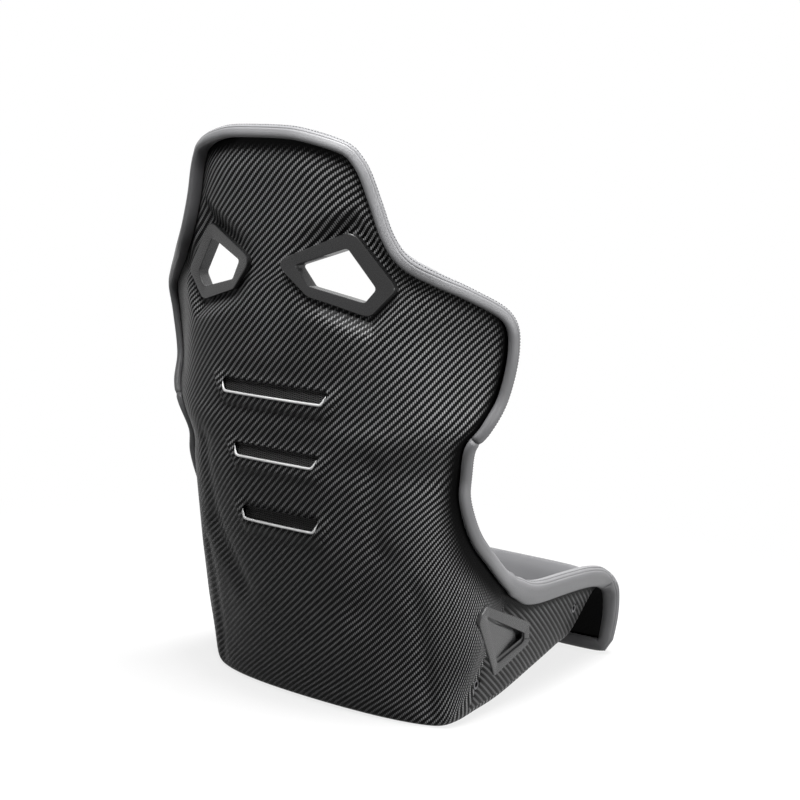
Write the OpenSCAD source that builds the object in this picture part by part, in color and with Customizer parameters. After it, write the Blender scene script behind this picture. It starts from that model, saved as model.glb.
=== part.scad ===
// Racing bucket seat: a one-piece woven carbon shell with a padded leather edge, a set of pads,
// harness openings with moulded guides, three louvred vents and threaded side mounts.
// Millimetres. +Z is up, the occupant faces -Y and sits with the left side towards +X.
// The origin is on the floor, under the middle of the seat's plan.

/* [Shell profile: outer face on the centre line] */
// Head end of the shell, distance behind the origin
head_y = 334; // [328:1:340]
// Head end of the shell, height
head_z = 783; // [768:1:798]
// Neck, distance behind the origin
neck_y = 311; // [306:1:316]
// Neck, height
neck_z = 637; // [631:1:643]
// Shoulders, distance behind the origin
shoulder_y = 304; // [300:1:308]
// Shoulders, height of the wing corners
shoulder_z = 570; // [565:1:575]
// Wings, distance behind the origin
wing_y = 289; // [285:1:293]
// Wings, height of their deepest section
wing_z = 470; // [463:1:477]
// Level of the edge seam, distance behind the origin
seam_y = 280; // [276:1:284]
// Level of the edge seam, height
seam_z = 406; // [401:1:411]
// Waist, distance behind the origin
waist_y = 270; // [266:1:274]
// Waist, height
waist_z = 331; // [325:1:337]
// Hip, distance behind the origin
hip_y = 214; // [210:1:218]
// Hip, height
hip_z = 147; // [141:1:153]
// Heel, the sharp lower rear edge, distance behind the origin
heel_y = 161; // [157:1:165]
// Heel, height of the underside above the floor
heel_z = 3; // [3:0.5:4]
// Front of the pan, distance in front of the origin
thigh_y = 242; // [238:1:246]
// Front of the pan, height of its underside
thigh_z = 47; // [43:1:51]
// Thigh hump, distance in front of the origin
hump_y = 292; // [289:1:295]
// Thigh hump, height of its underside
hump_z = 115; // [109:1:119]
// Hem of the front apron, distance in front of the origin
hem_y = 325; // [321:1:328]
// Hem of the front apron, height
hem_z = 16; // [14:1:20]

/* [Shell rim: free edge of the sides] */
// Head rim, distance behind the origin
head_rim_y = 310; // [304:1:314]
// Head rim, height
head_rim_z = 764; // [753:1:769]
// Neck rim, distance behind the origin
neck_rim_y = 270; // [264:1:276]
// Shoulder rim, distance behind the origin
shoulder_rim_y = 176; // [168:1:184]
// Wing rim, distance behind the origin
wing_rim_y = 160; // [152:1:168]
// Rim at the seam, distance behind the origin
seam_rim_y = 186; // [180:1:192]
// Waist rim, distance behind the origin
waist_rim_y = 168; // [162:1:174]
// Hip rim, distance behind the origin
hip_rim_y = 101; // [95:1:107]
// Hip rim, height
hip_rim_z = 240; // [233:1:247]
// Rim above the heel, distance behind the origin
heel_rim_y = 42; // [38:1:46]
// Rim above the heel, height
heel_rim_z = 197; // [191:1:203]
// Rim beside the pan, height
pan_rim_z = 176; // [171:1:181]
// Rim at the front of the pan, height
thigh_rim_z = 156; // [151:1:161]
// Rim over the thigh hump, height
hump_rim_z = 130; // [127:1:134]

/* [Shell half widths] */
// Head end
head_w = 116; // [108:1:122]
// Neck
neck_w = 176; // [170:1:182]
// Shoulders, the widest place
shoulder_w = 275; // [265:1:285]
// Wings
wing_w = 268; // [260:1:276]
// Seam level
seam_w = 240; // [234:1:246]
// Waist
waist_w = 228; // [222:1:234]
// Hip
hip_w = 238; // [232:1:244]
// Heel
heel_w = 245; // [240:1:250]
// Pan
pan_w = 250; // [244:1:256]
// Front apron
apron_w = 241; // [236:1:244]

/* [Shell form] */
// Half width of the flat back panel at the head
head_flat = 80; // [72:1:88]
// Half width of the flat back panel at the shoulders
shoulder_flat = 160; // [150:1:168]
// Half width of the flat back panel at the waist
waist_flat = 138; // [130:1:144]
// Half width of the flat back panel at the hip
hip_flat = 155; // [148:1:162]
// Half width of the base at the heel
heel_flat = 204; // [198:1:208]
// Half width of the base of the pan
pan_flat = 210; // [204:1:214]
// How far the heel edge bows forward at its ends
heel_bow = 42; // [36:1:46]
// Outward swell of the hip sides
hip_swell = 36; // [28:1:42]
// Wall of the carbon laminate
shell_t = 3.5; // [2.5:0.5:4.5]

/* [Leather edge roll] */
// Reach of the roll beyond the shell's edge
roll_tip = 13; // [10:1:16]
// Thickness of the roll outside the shell
roll_out = 10; // [7:1:12]
// Thickness of the roll inside the shell
roll_in = 10; // [7:1:12]
// How far the roll lies back inside the shell at the head
roll_skirt_head = 14; // [10:1:18]
// How far the roll lies back inside the shell at the waist
roll_skirt_waist = 17; // [13:1:21]
// How far the roll lies back inside the shell beside the pan
roll_skirt_pan = 32; // [26:1:36]
// How far the roll lies back inside the apron's hem
roll_skirt_hem = 20; // [15:1:24]
// How far the roll's lip lies back outside the shell at the head
roll_lip_head = 3; // [2:1:8]
// How far the roll's lip lies back outside the shell at the waist
roll_lip_waist = 5; // [3:1:10]
// How far the roll's lip lies back outside the shell beside the pan
roll_lip_pan = 21; // [15:1:26]
// How far the roll's lip lies back outside the apron's hem
roll_lip_hem = 10; // [6:1:16]
// Gap at the seams between lengths of roll
roll_seam_gap = 0.6; // [0.4:0.1:1.2]

/* [Pads] */
// Thickness of the head cushion
head_pad_t = 26; // [18:1:32]
// Thickness of the back cushion
back_pad_t = 30; // [22:1:36]
// Half width of the back cushion
back_pad_w = 118; // [108:1:124]
// Thickness of the lumbar cushion
lumbar_pad_t = 34; // [26:1:40]
// Thickness of the seat cushion
seat_pad_t = 40; // [30:1:46]
// Half width of the seat cushion
seat_pad_w = 172; // [160:1:180]
// Thickness of the leg cushion at its rear end
leg_pad_t = 31; // [24:1:34]
// Share of that thickness lost towards the front
leg_pad_taper = 0.32; // [0.25:0.01:0.45]
// Half width of the leg cushion
leg_pad_w = 204; // [192:1:206]
// Thickness of the shoulder bolsters
shoulder_pad_t = 28; // [20:1:34]
// Thickness of the hip bolsters
hip_pad_t = 24; // [16:1:30]
// Thickness of the thigh bolsters
thigh_pad_t = 20; // [14:1:24]
// Gap between neighbouring pads
pad_gap = 5; // [4:1:8]
// Depth of the sewn channels
channel_depth = 6; // [3:1:8]

/* [Hook-and-loop tape under the pads] */
// Thickness of the mated tape
tape_t = 1.8; // [1.4:0.1:2.4]
// Width of a strip
tape_w = 25; // [20:1:30]

/* [Shoulder belt guides] */
// Distance from the centre line to the guide's inner corner
guide_x = 22; // [18:1:28]
// Height of the guide's lowest corner
guide_z = 569; // [563:1:575]
// Overall width
guide_w = 141; // [132:1:146]
// Overall height
guide_h = 101; // [94:1:106]
// Width of the flange round the opening
guide_flange = 17; // [14:1:20]
// Height of the flange above the shell
guide_t = 5; // [4:0.5:7]

/* [Lap belt guides] */
// Distance behind the origin of the guide's rear corner
lap_y = 125; // [119:1:129]
// Height of the guide's lowest corner
lap_z = 60; // [57:1:63]
// Overall length
lap_l = 176; // [168:1:182]
// Overall height
lap_h = 121; // [117:1:124]
// Flange width along the rear edge
lap_flange_rear = 14; // [11:1:17]
// Flange width along the lower edge
lap_flange_low = 15; // [12:1:18]
// Flange width at the front corner
lap_flange_front = 17; // [14:1:20]
// Flange width along the upper edge
lap_flange_top = 18; // [15:1:21]
// Wall of the collar that lines each belt opening
collar_t = 2.5; // [2:0.5:3.5]

/* [Crotch belt opening] */
// Distance in front of the origin
crotch_y = 130; // [115:1:145]
// Length of the opening, across the seat
crotch_l = 80; // [60:1:96]
// Width of the opening, along the seat
crotch_w = 24; // [18:1:32]
// Flange round the opening
crotch_flange = 8; // [6:1:12]
// Thickness of the flange
crotch_t = 3; // [2:0.5:4]

/* [Vents] */
// Height of the upper vent's lower lip
vent_high_z = 449; // [443:1:455]
// Height of the middle vent's lower lip
vent_mid_z = 362; // [357:1:367]
// Height of the lower vent's lower lip
vent_low_z = 274; // [269:1:279]
// Half length of the upper vent at its lip
vent_high_w = 79; // [70:1:84]
// Half length of the middle vent at its lip
vent_mid_w = 62; // [55:1:68]
// Half length of the lower vent at its lip
vent_low_w = 57; // [50:1:63]
// Height of a vent opening
vent_h = 17; // [13:1:20]
// How far each end of a vent leans out at the top
vent_lean = 9; // [5:1:12]
// Thickness of the mesh behind the vents
mesh_t = 1.2; // [0.8:0.1:1.6]

/* [Side mounts] */
// Rear mount, distance behind the origin
mount_y = 88; // [84:1:92]
// Rear mount, height
mount_z = 59; // [56:1:62]
// Distance between the two mounts of a side, along the seat
mount_pitch = 286; // [280:1:290]
// Rise from the rear mount to the front mount
mount_rise = 48; // [44:1:52]
// Radius of the threaded bore, M8
mount_r = 4; // [3:0.5:5]
// Outer radius of the threaded boss
boss_r = 7; // [6.5:0.5:9]
// Length of the threaded bore
mount_l = 16; // [12:1:20]
// Radius of the flange inside the shell
flange_r = 12; // [10:1:15]
// Thickness of the flange
flange_t = 2.5; // [2:0.5:4]

/* [Fits] */
// Clearance between pieces that lie on each other
fit = 0.3; // [0.2:0.05:0.4]
// Extra clearance inside the shell, for the flat facets of its curved face
facet_fit = 0.6; // [0.4:0.1:0.7]

/* [Hidden] */

carbon = [0.13, 0.13, 0.14];
leather = [0.2, 0.2, 0.21];
pad_leather = [0.32, 0.32, 0.33];
plastic = [0.17, 0.17, 0.18];
tape_black = [0.08, 0.08, 0.08];
steel = [0.15, 0.15, 0.16];

// ---- sections of the shell ------------------------------------------------------------------
// A section is a half curve in a plane that holds the X axis. Its row holds:
// back point y, z | rim point y, z | half width at the rim | half width of the flat, its depth |
// softness of the crease | outward swell of the side | forward bow of the back
function between(p, q, k, push) = [for (i = [0:9]) p[i] + k * (q[i] - p[i]) + push[i]];

soft = 25;
head = [head_y, head_z, head_rim_y, head_rim_z, head_w, head_flat, 6, soft, 0, 0];
neck = [neck_y, neck_z, neck_rim_y, neck_z, neck_w, 120, 16, soft, 0, 0];
shoulder = [shoulder_y, shoulder_z, shoulder_rim_y, shoulder_z + 2, shoulder_w,
  shoulder_flat, 26, soft, 0, 0];
wing = [wing_y, wing_z, wing_rim_y, wing_z + 4, wing_w, 159, 20, soft, 4, 0];
seam = [seam_y, seam_z, seam_rim_y, seam_z, seam_w, 151, 12, soft, 6, 0];
waist = [waist_y, waist_z, waist_rim_y, waist_z - 3, waist_w, waist_flat, 8, soft, 10, 8];
hip = [hip_y, hip_z, hip_rim_y, hip_rim_z, hip_w, hip_flat, 8, soft, hip_swell, 22];
heel = [heel_y, heel_z, heel_rim_y, heel_rim_z, heel_w, heel_flat, -4, 10, 10, heel_bow];
pan = [-11, heel_z + 3, -37, pan_rim_z, pan_w, pan_flat, -2, 8, 4, 0];
thigh = [-thigh_y, thigh_z, 3 - thigh_y, thigh_rim_z, pan_w - 2, pan_flat, 0, 8, 0, 0];
hump = [-hump_y, hump_z, -hump_y - 6, hump_rim_z, apron_w + 2, pan_flat, 1, 16, 0, 0];
hem = [-hem_y, hem_z, -hem_y - 8, hem_z, apron_w - 11, 195, 1, 16, 0, 0];

ROWS = [
  head,
  between(head, neck, 0.23, [-1, 0, 0, 7, 0, 1, -3, 0, 0, 0]),
  between(head, neck, 0.53, [-3, 0, 2, 8, -5, -1, -5, 0, 0, 0]),
  between(head, neck, 0.81, [-2, 0, 5, 4, -7, -2, -4, 0, 0, 0]),
  neck,
  between(neck, shoulder, 0.34, [0, 0, 4, 1, -3, 1, 1, 0, 0, 0]),
  between(neck, shoulder, 0.64, [0, 0, -1, 1, 3, 8, 2, 0, 0, 0]),
  shoulder,
  between(shoulder, wing, 0.4, [1, 0, -8, 1, 6, 0, 0, 0, -2, 0]),
  wing,
  between(wing, seam, 0.6, [-1, 0, 2, 0, 5, 0, 1, 0, 1, 0]),
  seam,
  between(seam, waist, 0.53, [-1, 0, -4, 0, -5, 0, 0, 0, -2, 0]),
  waist,
  between(waist, hip, 0.5, [4, 0, 5, -6, -1, -11, 0, 0, 1, -1]),
  hip,
  between(hip, heel, 0.61, [2, 0, 6, 0, 0, 3, 3, 4, 14, 2]),
  between(hip, heel, 0.88, [4, -2, 3, 1, 0, 4, 1, -2, 3, 4]),
  heel,
  between(heel, pan, 0.17, [-1, -3, -2, -2, 0, 3, 2, -2, 0, -1]),
  between(heel, pan, 0.5, [4, -2, -2, -5, 0, 3, 1, -1, -1, -3]),
  pan,
  between(pan, thigh, 0.43, [-1, -3, 10, 4, 1, 0, 1, 0, 0, 0]),
  between(pan, thigh, 0.77, [-1, -3, 7, 5, 1, 0, 1, 0, 0, 0]),
  thigh,
  between(thigh, hump, 0.64, [0, -4, 7, 5, 1, 0, 0, 0, 0, 0]),
  hump,
  between(hump, hem, 0.36, [-7, 28, -10, 20, 2, 4, 0, 0, 0, 0]),
  between(hump, hem, 0.8, [-4, 32, -4, 28, 5, 6, 0, 0, 0, 0]),
  hem
];
LAST = len(ROWS) - 1;

// Smooth blend of a table's rows at station t, through every row
function row_at(t, table) =
  let (n = len(table) - 1, c = min(max(t, 0), n), i = min(floor(c), n - 1), u = c - i)
  let (b = table[i], d = table[i + 1])
  let (a = i == 0 ? 2 * b - d : table[i - 1], e = i == n - 1 ? 2 * d - b : table[i + 2])
  0.5 * (2 * b + (d - a) * u + (2 * a - 5 * b + 4 * d - e) * u * u
    + (3 * b - a - 3 * d + e) * u * u * u);

// Cubic B-spline weights of the six control points of a half section
KNOTS = [0, 0, 0, 0, 1 / 3, 2 / 3, 1, 1, 1, 1];
function basis(i, k, s) = k == 0
  ? (KNOTS[i] <= s && s < KNOTS[i + 1] ? 1 : 0)
  : (KNOTS[i + k] == KNOTS[i] ? 0
      : (s - KNOTS[i]) / (KNOTS[i + k] - KNOTS[i]) * basis(i, k - 1, s))
    + (KNOTS[i + k + 1] == KNOTS[i + 1] ? 0
      : (KNOTS[i + k + 1] - s) / (KNOTS[i + k + 1] - KNOTS[i + 1]) * basis(i + 1, k - 1, s));
function weights(s) = [for (i = [0:5]) basis(i, 3, min(abs(s), 0.999999))];

function unit(v) = v / norm(v);
function clamp(v, low, high) = min(max(v, low), high);

// Half section at station t: [x of the control points, their depth, their bow, depth direction,
// back point, side normal at the rim as x and depth]
function section(t) =
  let (q = row_at(t, ROWS))
  let (along = [q[2] + q[9] - q[0], q[3] - q[1]], depth = norm(along))
  let (crease = [q[5], q[6]], rim = [q[4], depth], mid = [q[5] / 2, 0])
  let (u = unit(crease - mid), v = unit(rim - crease), out = [v[1], -v[0]])
  let (p2 = crease - u * q[7])
  let (p3 = crease + v * min(q[7], norm(rim - crease) * 0.4))
  let (p4 = (p3 + rim) / 2 + out * q[8], p3b = p3 + out * q[8] * 0.6)
  let (c = [[0, 0], mid, p2, p3b, p4, rim])
  [[for (p = c) p[0]], [for (p = c) p[1]], q[9] * [0, 0, 0.75, 1, 1, 1], unit(along),
    [q[0], q[1]], out];

function place(k, w, side) =
  let (h = w * k[1])
  [side * (w * k[0]), k[4][0] + k[3][0] * h - w * k[2], k[4][1] + k[3][1] * h];
function side_of(s) = s < 0 ? -1 : 1;
// Point of the shell's outer face: s runs from -1 to 1 across, t from head to hem
function face_at(s, t) = place(section(t), weights(s), side_of(s));

// Outward normal of the shell at s, t
function normal_at(s, t) =
  let (s0 = clamp(s - 0.004, -0.999, 0.999), s1 = clamp(s + 0.004, -0.999, 0.999))
  let (t0 = clamp(t - 0.02, 0, LAST), t1 = clamp(t + 0.02, 0, LAST))
  unit(cross(face_at(s1, t) - face_at(s0, t), face_at(s, t1) - face_at(s, t0)));
// Inner face of the shell, pushed further in by gap
function inner_at(s, t, gap) = face_at(s, t) - normal_at(s, t) * (shell_t + gap);
// Direction in which padding grows from the inner face: with the section's depth in the middle,
// square to the side wall at the rim
function grow_at(s, t) =
  let (k = section(t), m = pow(abs(s), 1.5), o = k[5])
  unit([-side_of(s) * o[0] * m, k[3][0] * (1 - m - o[1] * m), k[3][1] * (1 - m - o[1] * m)]);

// Station on one side where the shell is x from the centre line
function s_at_x(t, x, low = 0, high = 1, n = 11) =
  n == 0 ? (low + high) / 2
  : let (mid = (low + high) / 2)
    face_at(mid, t)[0] < x ? s_at_x(t, x, mid, high, n - 1) : s_at_x(t, x, low, mid, n - 1);
// Station on one side that lies d inside the rim
function s_at_rim(t, d, low = 0.5, high = 1, n = 9) =
  n == 0 ? low
  : let (mid = (low + high) / 2)
    norm(face_at(mid, t) - face_at(1, t)) > d ? s_at_rim(t, d, mid, high, n - 1)
    : s_at_rim(t, d, low, mid, n - 1);
// The s and t at which the shell passes through two given coordinates, by Newton's rule
function locate(p, ax, s, t, n = 7) =
  n == 0 ? [s, t]
  : let (a = face_at(s, t), b = face_at(s + 0.01, t), c = face_at(s, t + 0.05))
    let (bs = (b - a) / 0.01, ct = (c - a) / 0.05, i = ax[0], j = ax[1])
    let (det = bs[i] * ct[j] - bs[j] * ct[i], r0 = p[0] - a[i], r1 = p[1] - a[j])
    let (ds = (r0 * ct[j] - r1 * ct[i]) / det, dt = (bs[i] * r1 - bs[j] * r0) / det)
    locate(p, ax, clamp(s + clamp(ds, -0.15, 0.15), 0.01, 0.97),
      clamp(t + clamp(dt, -1.5, 1.5), 0, LAST - 1), n - 1);

// ---- solids from grids and rings --------------------------------------------------------------
function flat(list) = [for (row = list) each row];
function quad(a, b, c, d) = [[a, b, c], [a, c, d]];
function wrap(faces, reversed) = reversed ? [for (f = faces) [f[2], f[1], f[0]]] : faces;

// Closed solid between two grids of equal size
module grid_solid(upper, lower) {
  m = len(upper);
  n = len(upper[0]);
  k = m * n;
  faces = [
    for (i = [0:m - 2], j = [0:n - 2]) let (a = i * n + j)
      each concat(quad(a, a + n, a + n + 1, a + 1), quad(k + a, k + a + 1, k + a + n + 1, k + a + n)),
    for (j = [0:n - 2]) let (a = (m - 1) * n + j)
      each concat(quad(j, j + 1, k + j + 1, k + j), quad(a, k + a, k + a + 1, a + 1)),
    for (i = [0:m - 2]) let (a = i * n, b = i * n + n - 1)
      each concat(quad(a, k + a, k + a + n, a + n), quad(b, b + n, k + b + n, k + b))
  ];
  polyhedron(points = concat(flat(upper), flat(lower)), faces = faces, convexity = 6);
}

// Closed band: rings of equal size that join up again, as round a belt opening
module loop_solid(rings, reversed = false) {
  m = len(rings);
  n = len(rings[0]);
  faces = [
    for (i = [0:m - 1], j = [0:n - 1])
      let (a = i * n + j, b = i * n + (j + 1) % n, i2 = (i + 1) % m)
      each quad(a, b, i2 * n + (j + 1) % n, i2 * n + j)
  ];
  polyhedron(points = flat(rings), faces = wrap(faces, reversed), convexity = 6);
}

// ---- carbon shell -----------------------------------------------------------------------------
half_s = [0, 0.16, 0.32, 0.42, 0.5, 0.58, 0.66, 0.74, 0.82, 0.91, 1];
SHELL_S = concat([for (i = [len(half_s) - 1:-1:1]) -half_s[i]], half_s);
// Steps of the shell's grid: thirds of a station at the hip, halves where the outline turns
SHELL_T = [for (t = [0:LAST - 1])
  each (t == 14 || t == 15 ? [t, t + 0.33, t + 0.67]
    : (t > 3 && t < 19) || (t > 23 && t < 28) ? [t, t + 0.5] : [t]), LAST];
function grid_normal(g, i, j) =
  let (m = len(g) - 1, n = len(g[0]) - 1)
  unit(cross(g[i][min(j + 1, n)] - g[i][max(j - 1, 0)], g[min(i + 1, m)][j] - g[max(i - 1, 0)][j]));

module shell_blank() {
  w = [for (s = SHELL_S) weights(s)];
  outer = [for (t = SHELL_T) let (k = section(t))
    [for (j = [0:len(SHELL_S) - 1]) place(k, w[j], side_of(SHELL_S[j]))]];
  inner = [for (i = [0:len(SHELL_T) - 1])
    [for (j = [0:len(SHELL_S) - 1]) outer[i][j] - shell_t * grid_normal(outer, i, j)]];
  grid_solid(outer, inner);
}

// Polygon whose edges are moved inwards, each by its own distance; corners run anticlockwise
function inset(poly, d) =
  let (n = len(poly))
  [for (i = [0:n - 1])
    let (p = poly[(i + n - 1) % n], q = poly[i], r = poly[(i + 1) % n])
    let (u = unit(q - p), v = unit(r - q), dp = d[(i + n - 1) % n], dq = d[i])
    let (a = q + dp * [-u[1], u[0]], b = q + dq * [-v[1], v[0]])
    let (k = ((b[0] - a[0]) * v[1] - (b[1] - a[1]) * v[0]) / (u[0] * v[1] - u[1] * v[0]))
    a + k * u];
// Polygon with round corners of radius r, m points each, and each long edge cut into parts
function rounded(poly, r, parts = 1, m = 3) =
  let (n = len(poly))
  [for (i = [0:n - 1], j = [0:m - 1])
    let (p = poly[(i + n - 1) % n], q = poly[i], e = poly[(i + 1) % n])
    let (u = unit(p - q), v = unit(e - q), half = acos(clamp(u * v, -1, 1)) / 2)
    let (cut = min(r / tan(half), norm(p - q) * 0.45, norm(e - q) * 0.45))
    let (a = q + u * cut, b = q + v * cut, f = j / (m - 1), rest = e - v * cut - b)
    each concat([(1 - f) * (1 - f) * a + 2 * f * (1 - f) * q + f * f * b],
      j < m - 1 ? [] : [for (k = [1:1:parts - 1]) b + rest * k / parts])];

guide_corners = [
  [guide_x, guide_z + 0.57 * guide_h], [guide_x + 0.26 * guide_w, guide_z + 0.16 * guide_h],
  [guide_x + 0.79 * guide_w, guide_z], [guide_x + guide_w, guide_z + 0.37 * guide_h],
  [guide_x + 0.63 * guide_w, guide_z + guide_h]
];
guide_rim = rounded(guide_corners, 10, 2);
guide_hole = rounded(inset(guide_corners, [for (i = [0:4]) guide_flange]), 5, 2);
guide_cut = rounded(inset(guide_corners, [for (i = [0:4]) guide_flange - collar_t - fit]), 7);

lap_corners = [
  [lap_y - 0.06 * lap_l, lap_z + lap_h], [lap_y - lap_l + 0.18 * lap_l, lap_z + 0.53 * lap_h],
  [lap_y - lap_l, lap_z + 0.16 * lap_h], [lap_y - 0.45 * lap_l, lap_z],
  [lap_y, lap_z + 0.8 * lap_h]
];
lap_flanges = [lap_flange_top, lap_flange_front, lap_flange_low, lap_flange_rear,
  lap_flange_top];
lap_rim = rounded(lap_corners, 12, 3);
lap_inner = inset(lap_corners, lap_flanges);
lap_hole = rounded(lap_inner, 6, 3);
lap_cut = rounded(inset(lap_corners, [for (f = lap_flanges) f - collar_t - fit]), 8);

VENTS = [[vent_high_z, vent_high_w], [vent_mid_z, vent_mid_w], [vent_low_z, vent_low_w]];
function vent_outline(v) = rounded([
  [-v[1], v[0]], [v[1], v[0]], [v[1] + vent_lean, v[0] + vent_h],
  [-v[1] - vent_lean, v[0] + vent_h]
], 5);

MOUNTS = [[mount_y, mount_z], [mount_y - mount_pitch, mount_z + mount_rise]];
mount_station = [for (m = MOUNTS) locate(m, [1, 2], 0.8, m == MOUNTS[0] ? 18.6 : 23)];
mount_face = [for (st = mount_station) face_at(st[0], st[1])];

crotch_station = locate([0, -crotch_y], [0, 1], 0.01, 22)[1];
crotch_slope = let (a = face_at(0, crotch_station - 0.1), b = face_at(0, crotch_station + 0.1))
  atan2(b[2] - a[2], a[1] - b[1]);

// Rounded slot, long across the seat
module slot_2d(l, w) {
  hull() for (x = [-1, 1]) translate([x * (l - w) / 2, 0]) circle(d = w, $fn = 32);
}
// Places children on the pan at the crotch belt opening, with z = 0 on the outer face
module at_crotch() {
  translate(face_at(0, crotch_station)) rotate([-crotch_slope, 0, 0]) children();
}
// Opening that runs straight along an axis through the back or a side
side_reach = 100;
back_reach = 66;
side_from = pan_w - side_reach;
side_long = 1.6 * side_reach;
back_from = head_y + back_reach;
back_long = back_from - hip_y + collar_t;
module cut_back(outline) {
  translate([0, back_from, 0]) rotate([90, 0, 0]) linear_extrude(back_long) polygon(outline);
}
module cut_side(outline) {
  translate([side_from, 0, 0]) rotate([90, 0, 90]) linear_extrude(side_long) polygon(outline);
}

module carbon_shell() {
  color(carbon) difference() {
    shell_blank();
    for (side = [0, 1]) mirror([side, 0, 0]) {
      cut_back(guide_cut);
      cut_side(lap_cut);
      for (m = MOUNTS) translate([side_from, m[0], m[1]]) rotate([0, 90, 0])
        cylinder(r = boss_r + fit, h = side_long, $fn = 32);
    }
    for (v = VENTS) cut_back(vent_outline(v));
    at_crotch() translate([0, 0, -20]) linear_extrude(40)
      slot_2d(crotch_l + 2 * (collar_t + fit), crotch_w + 2 * (collar_t + fit));
  }
}

// ---- leather edge roll --------------------------------------------------------------------------
// Reach of the roll over the shell by station, from its values at head, waist, pan and hem
function reach_at(t, list) =
  t < 7 ? list[0]
  : t < 13 ? list[0] + (t - 7) / 6 * (list[1] - list[0])
  : t < 20 ? list[1] + (t - 13) / 7 * (list[2] - list[1])
  : t < 23 ? list[2]
  : list[2] + (t - 23) / 6 * (list[3] - list[2]);
function skirt_at(t) =
  reach_at(t, [roll_skirt_head, roll_skirt_waist, roll_skirt_pan, roll_skirt_hem]);
function lip_at(t) = reach_at(t, [roll_lip_head, roll_lip_waist, roll_lip_pan, roll_lip_hem]);
// Stations from a to b, about step apart along the rim
function rim_steps(a, b, step) = [
  for (i = [floor(a):ceil(b) - 1])
    let (lo = max(i, a), hi = min(i + 1, b), d = norm(face_at(1, hi) - face_at(1, lo)))
    let (n = max(1, round(d / step)))
    for (j = [0:n - 1]) lo + (hi - lo) * j / n,
  b
];
function reverse(list) = [for (i = [len(list) - 1:-1:0]) list[i]];

// Closed section round the shell's edge: e points out past the edge, n outwards, both unit.
// The last two points are the bottom of the slot that holds the edge.
roll_foot = 1.5;
function roll_ring(p, e, n, skirt, lip) = [
  for (q = [
    [roll_foot - lip, fit], [-lip, roll_out * 0.5], [0.35 * roll_tip / 2 - 0.65 * lip, roll_out],
    [roll_tip * 0.55, roll_out * 0.8], [roll_tip, -shell_t / 2],
    [roll_tip * 0.5, -shell_t - roll_in * 0.8], [-skirt * 0.4, -shell_t - roll_in],
    [2 * roll_foot - skirt, -shell_t - roll_in * 0.75], [-skirt, -shell_t - fit],
    [2 * fit, -shell_t - fit], [2 * fit, fit]
  ]) p + e * q[0] + n * q[1]
];
// Roll along a list of [s, t] on the rim
module edge_roll(path) {
  m = len(path);
  pts = [for (q = path) face_at(q[0], q[1])];
  // Direction of the rim itself at the roll's two ends, so that facing ends are parallel
  way = function (q, sign) sign * (face_at(q[0], q[1] + 0.05) - face_at(q[0], q[1] - 0.05));
  rings = [
    for (i = [0:m - 1])
      let (sign = i == 0 ? path[1][1] - path[0][1] : path[m - 1][1] - path[m - 2][1])
      let (along = unit(i == 0 || i == m - 1 ? way(path[i], sign) : pts[i + 1] - pts[i - 1]))
      let (raw = normal_at(clamp(path[i][0], -0.99, 0.99), path[i][1]))
      let (n = unit(raw - along * (raw * along)), e = cross(n, along))
      roll_ring(pts[i], e, n, skirt_at(path[i][1]), lip_at(path[i][1]))
  ];
  k = len(rings[0]);
  last = (m - 1) * k;
  // End cap: the outer lobe, the tip with the bottom of the slot, the inner lobe
  cap = [
    for (j = [0:3]) [k - 1, j, j + 1],
    [k - 1, 4, k - 2],
    for (j = [4:7]) [k - 2, j, j + 1]
  ];
  faces = [
    for (i = [0:m - 2], j = [0:k - 1]) let (a = i * k + j, b = i * k + (j + 1) % k)
      each quad(a, a + k, b + k, b),
    each cap,
    for (f = cap) [f[2] + last, f[1] + last, f[0] + last]
  ];
  polyhedron(points = flat(rings), faces = faces, convexity = 8);
}

seam_t = 10.6;
corner_t = 25.6;
// Half the seam gap, as a share of a station
seam_half = roll_seam_gap / 2 / norm(face_at(1, seam_t + 0.5) - face_at(1, seam_t - 0.5));
corner_half = roll_seam_gap / 2 / norm(face_at(1, corner_t + 0.5) - face_at(1, corner_t - 0.5));
roll_step = 22;
function side_path(side, a, b) = [for (t = rim_steps(a, b, roll_step)) [side, t]];
function across(t) = [for (s = [0.94:-0.08:-0.95]) [s, t]];

module upper_edge_roll() {
  side = side_path(1, 0.12, seam_t - seam_half);
  color(leather)
    edge_roll(concat(reverse(side), across(0), [for (q = side) [-q[0], q[1]]]));
}
module lower_edge_roll() {
  color(leather) edge_roll(reverse(side_path(1, seam_t + seam_half, corner_t - corner_half)));
}
module front_edge_roll() {
  side = side_path(1, corner_t + corner_half, LAST - 0.25);
  color(leather)
    edge_roll(concat([for (q = side) [-q[0], q[1]]], reverse(across(LAST)), reverse(side)));
}

// ---- pads -----------------------------------------------------------------------------------------
pad_lift = tape_t + facet_fit + 2 * fit;
// Height of a pad over its plan, u and v from 0 to 1: low drawn-in edges and a crown
function dome(u) = 0.42 + 0.5 * pow(1 - pow(abs(2 * u - 1), 4), 0.5) + 0.08 * sin(180 * u);
function groove(x, at, half) = let (d = abs(x - at) / half) d < 1 ? (1 + cos(180 * d)) / 2 : 0;
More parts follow.
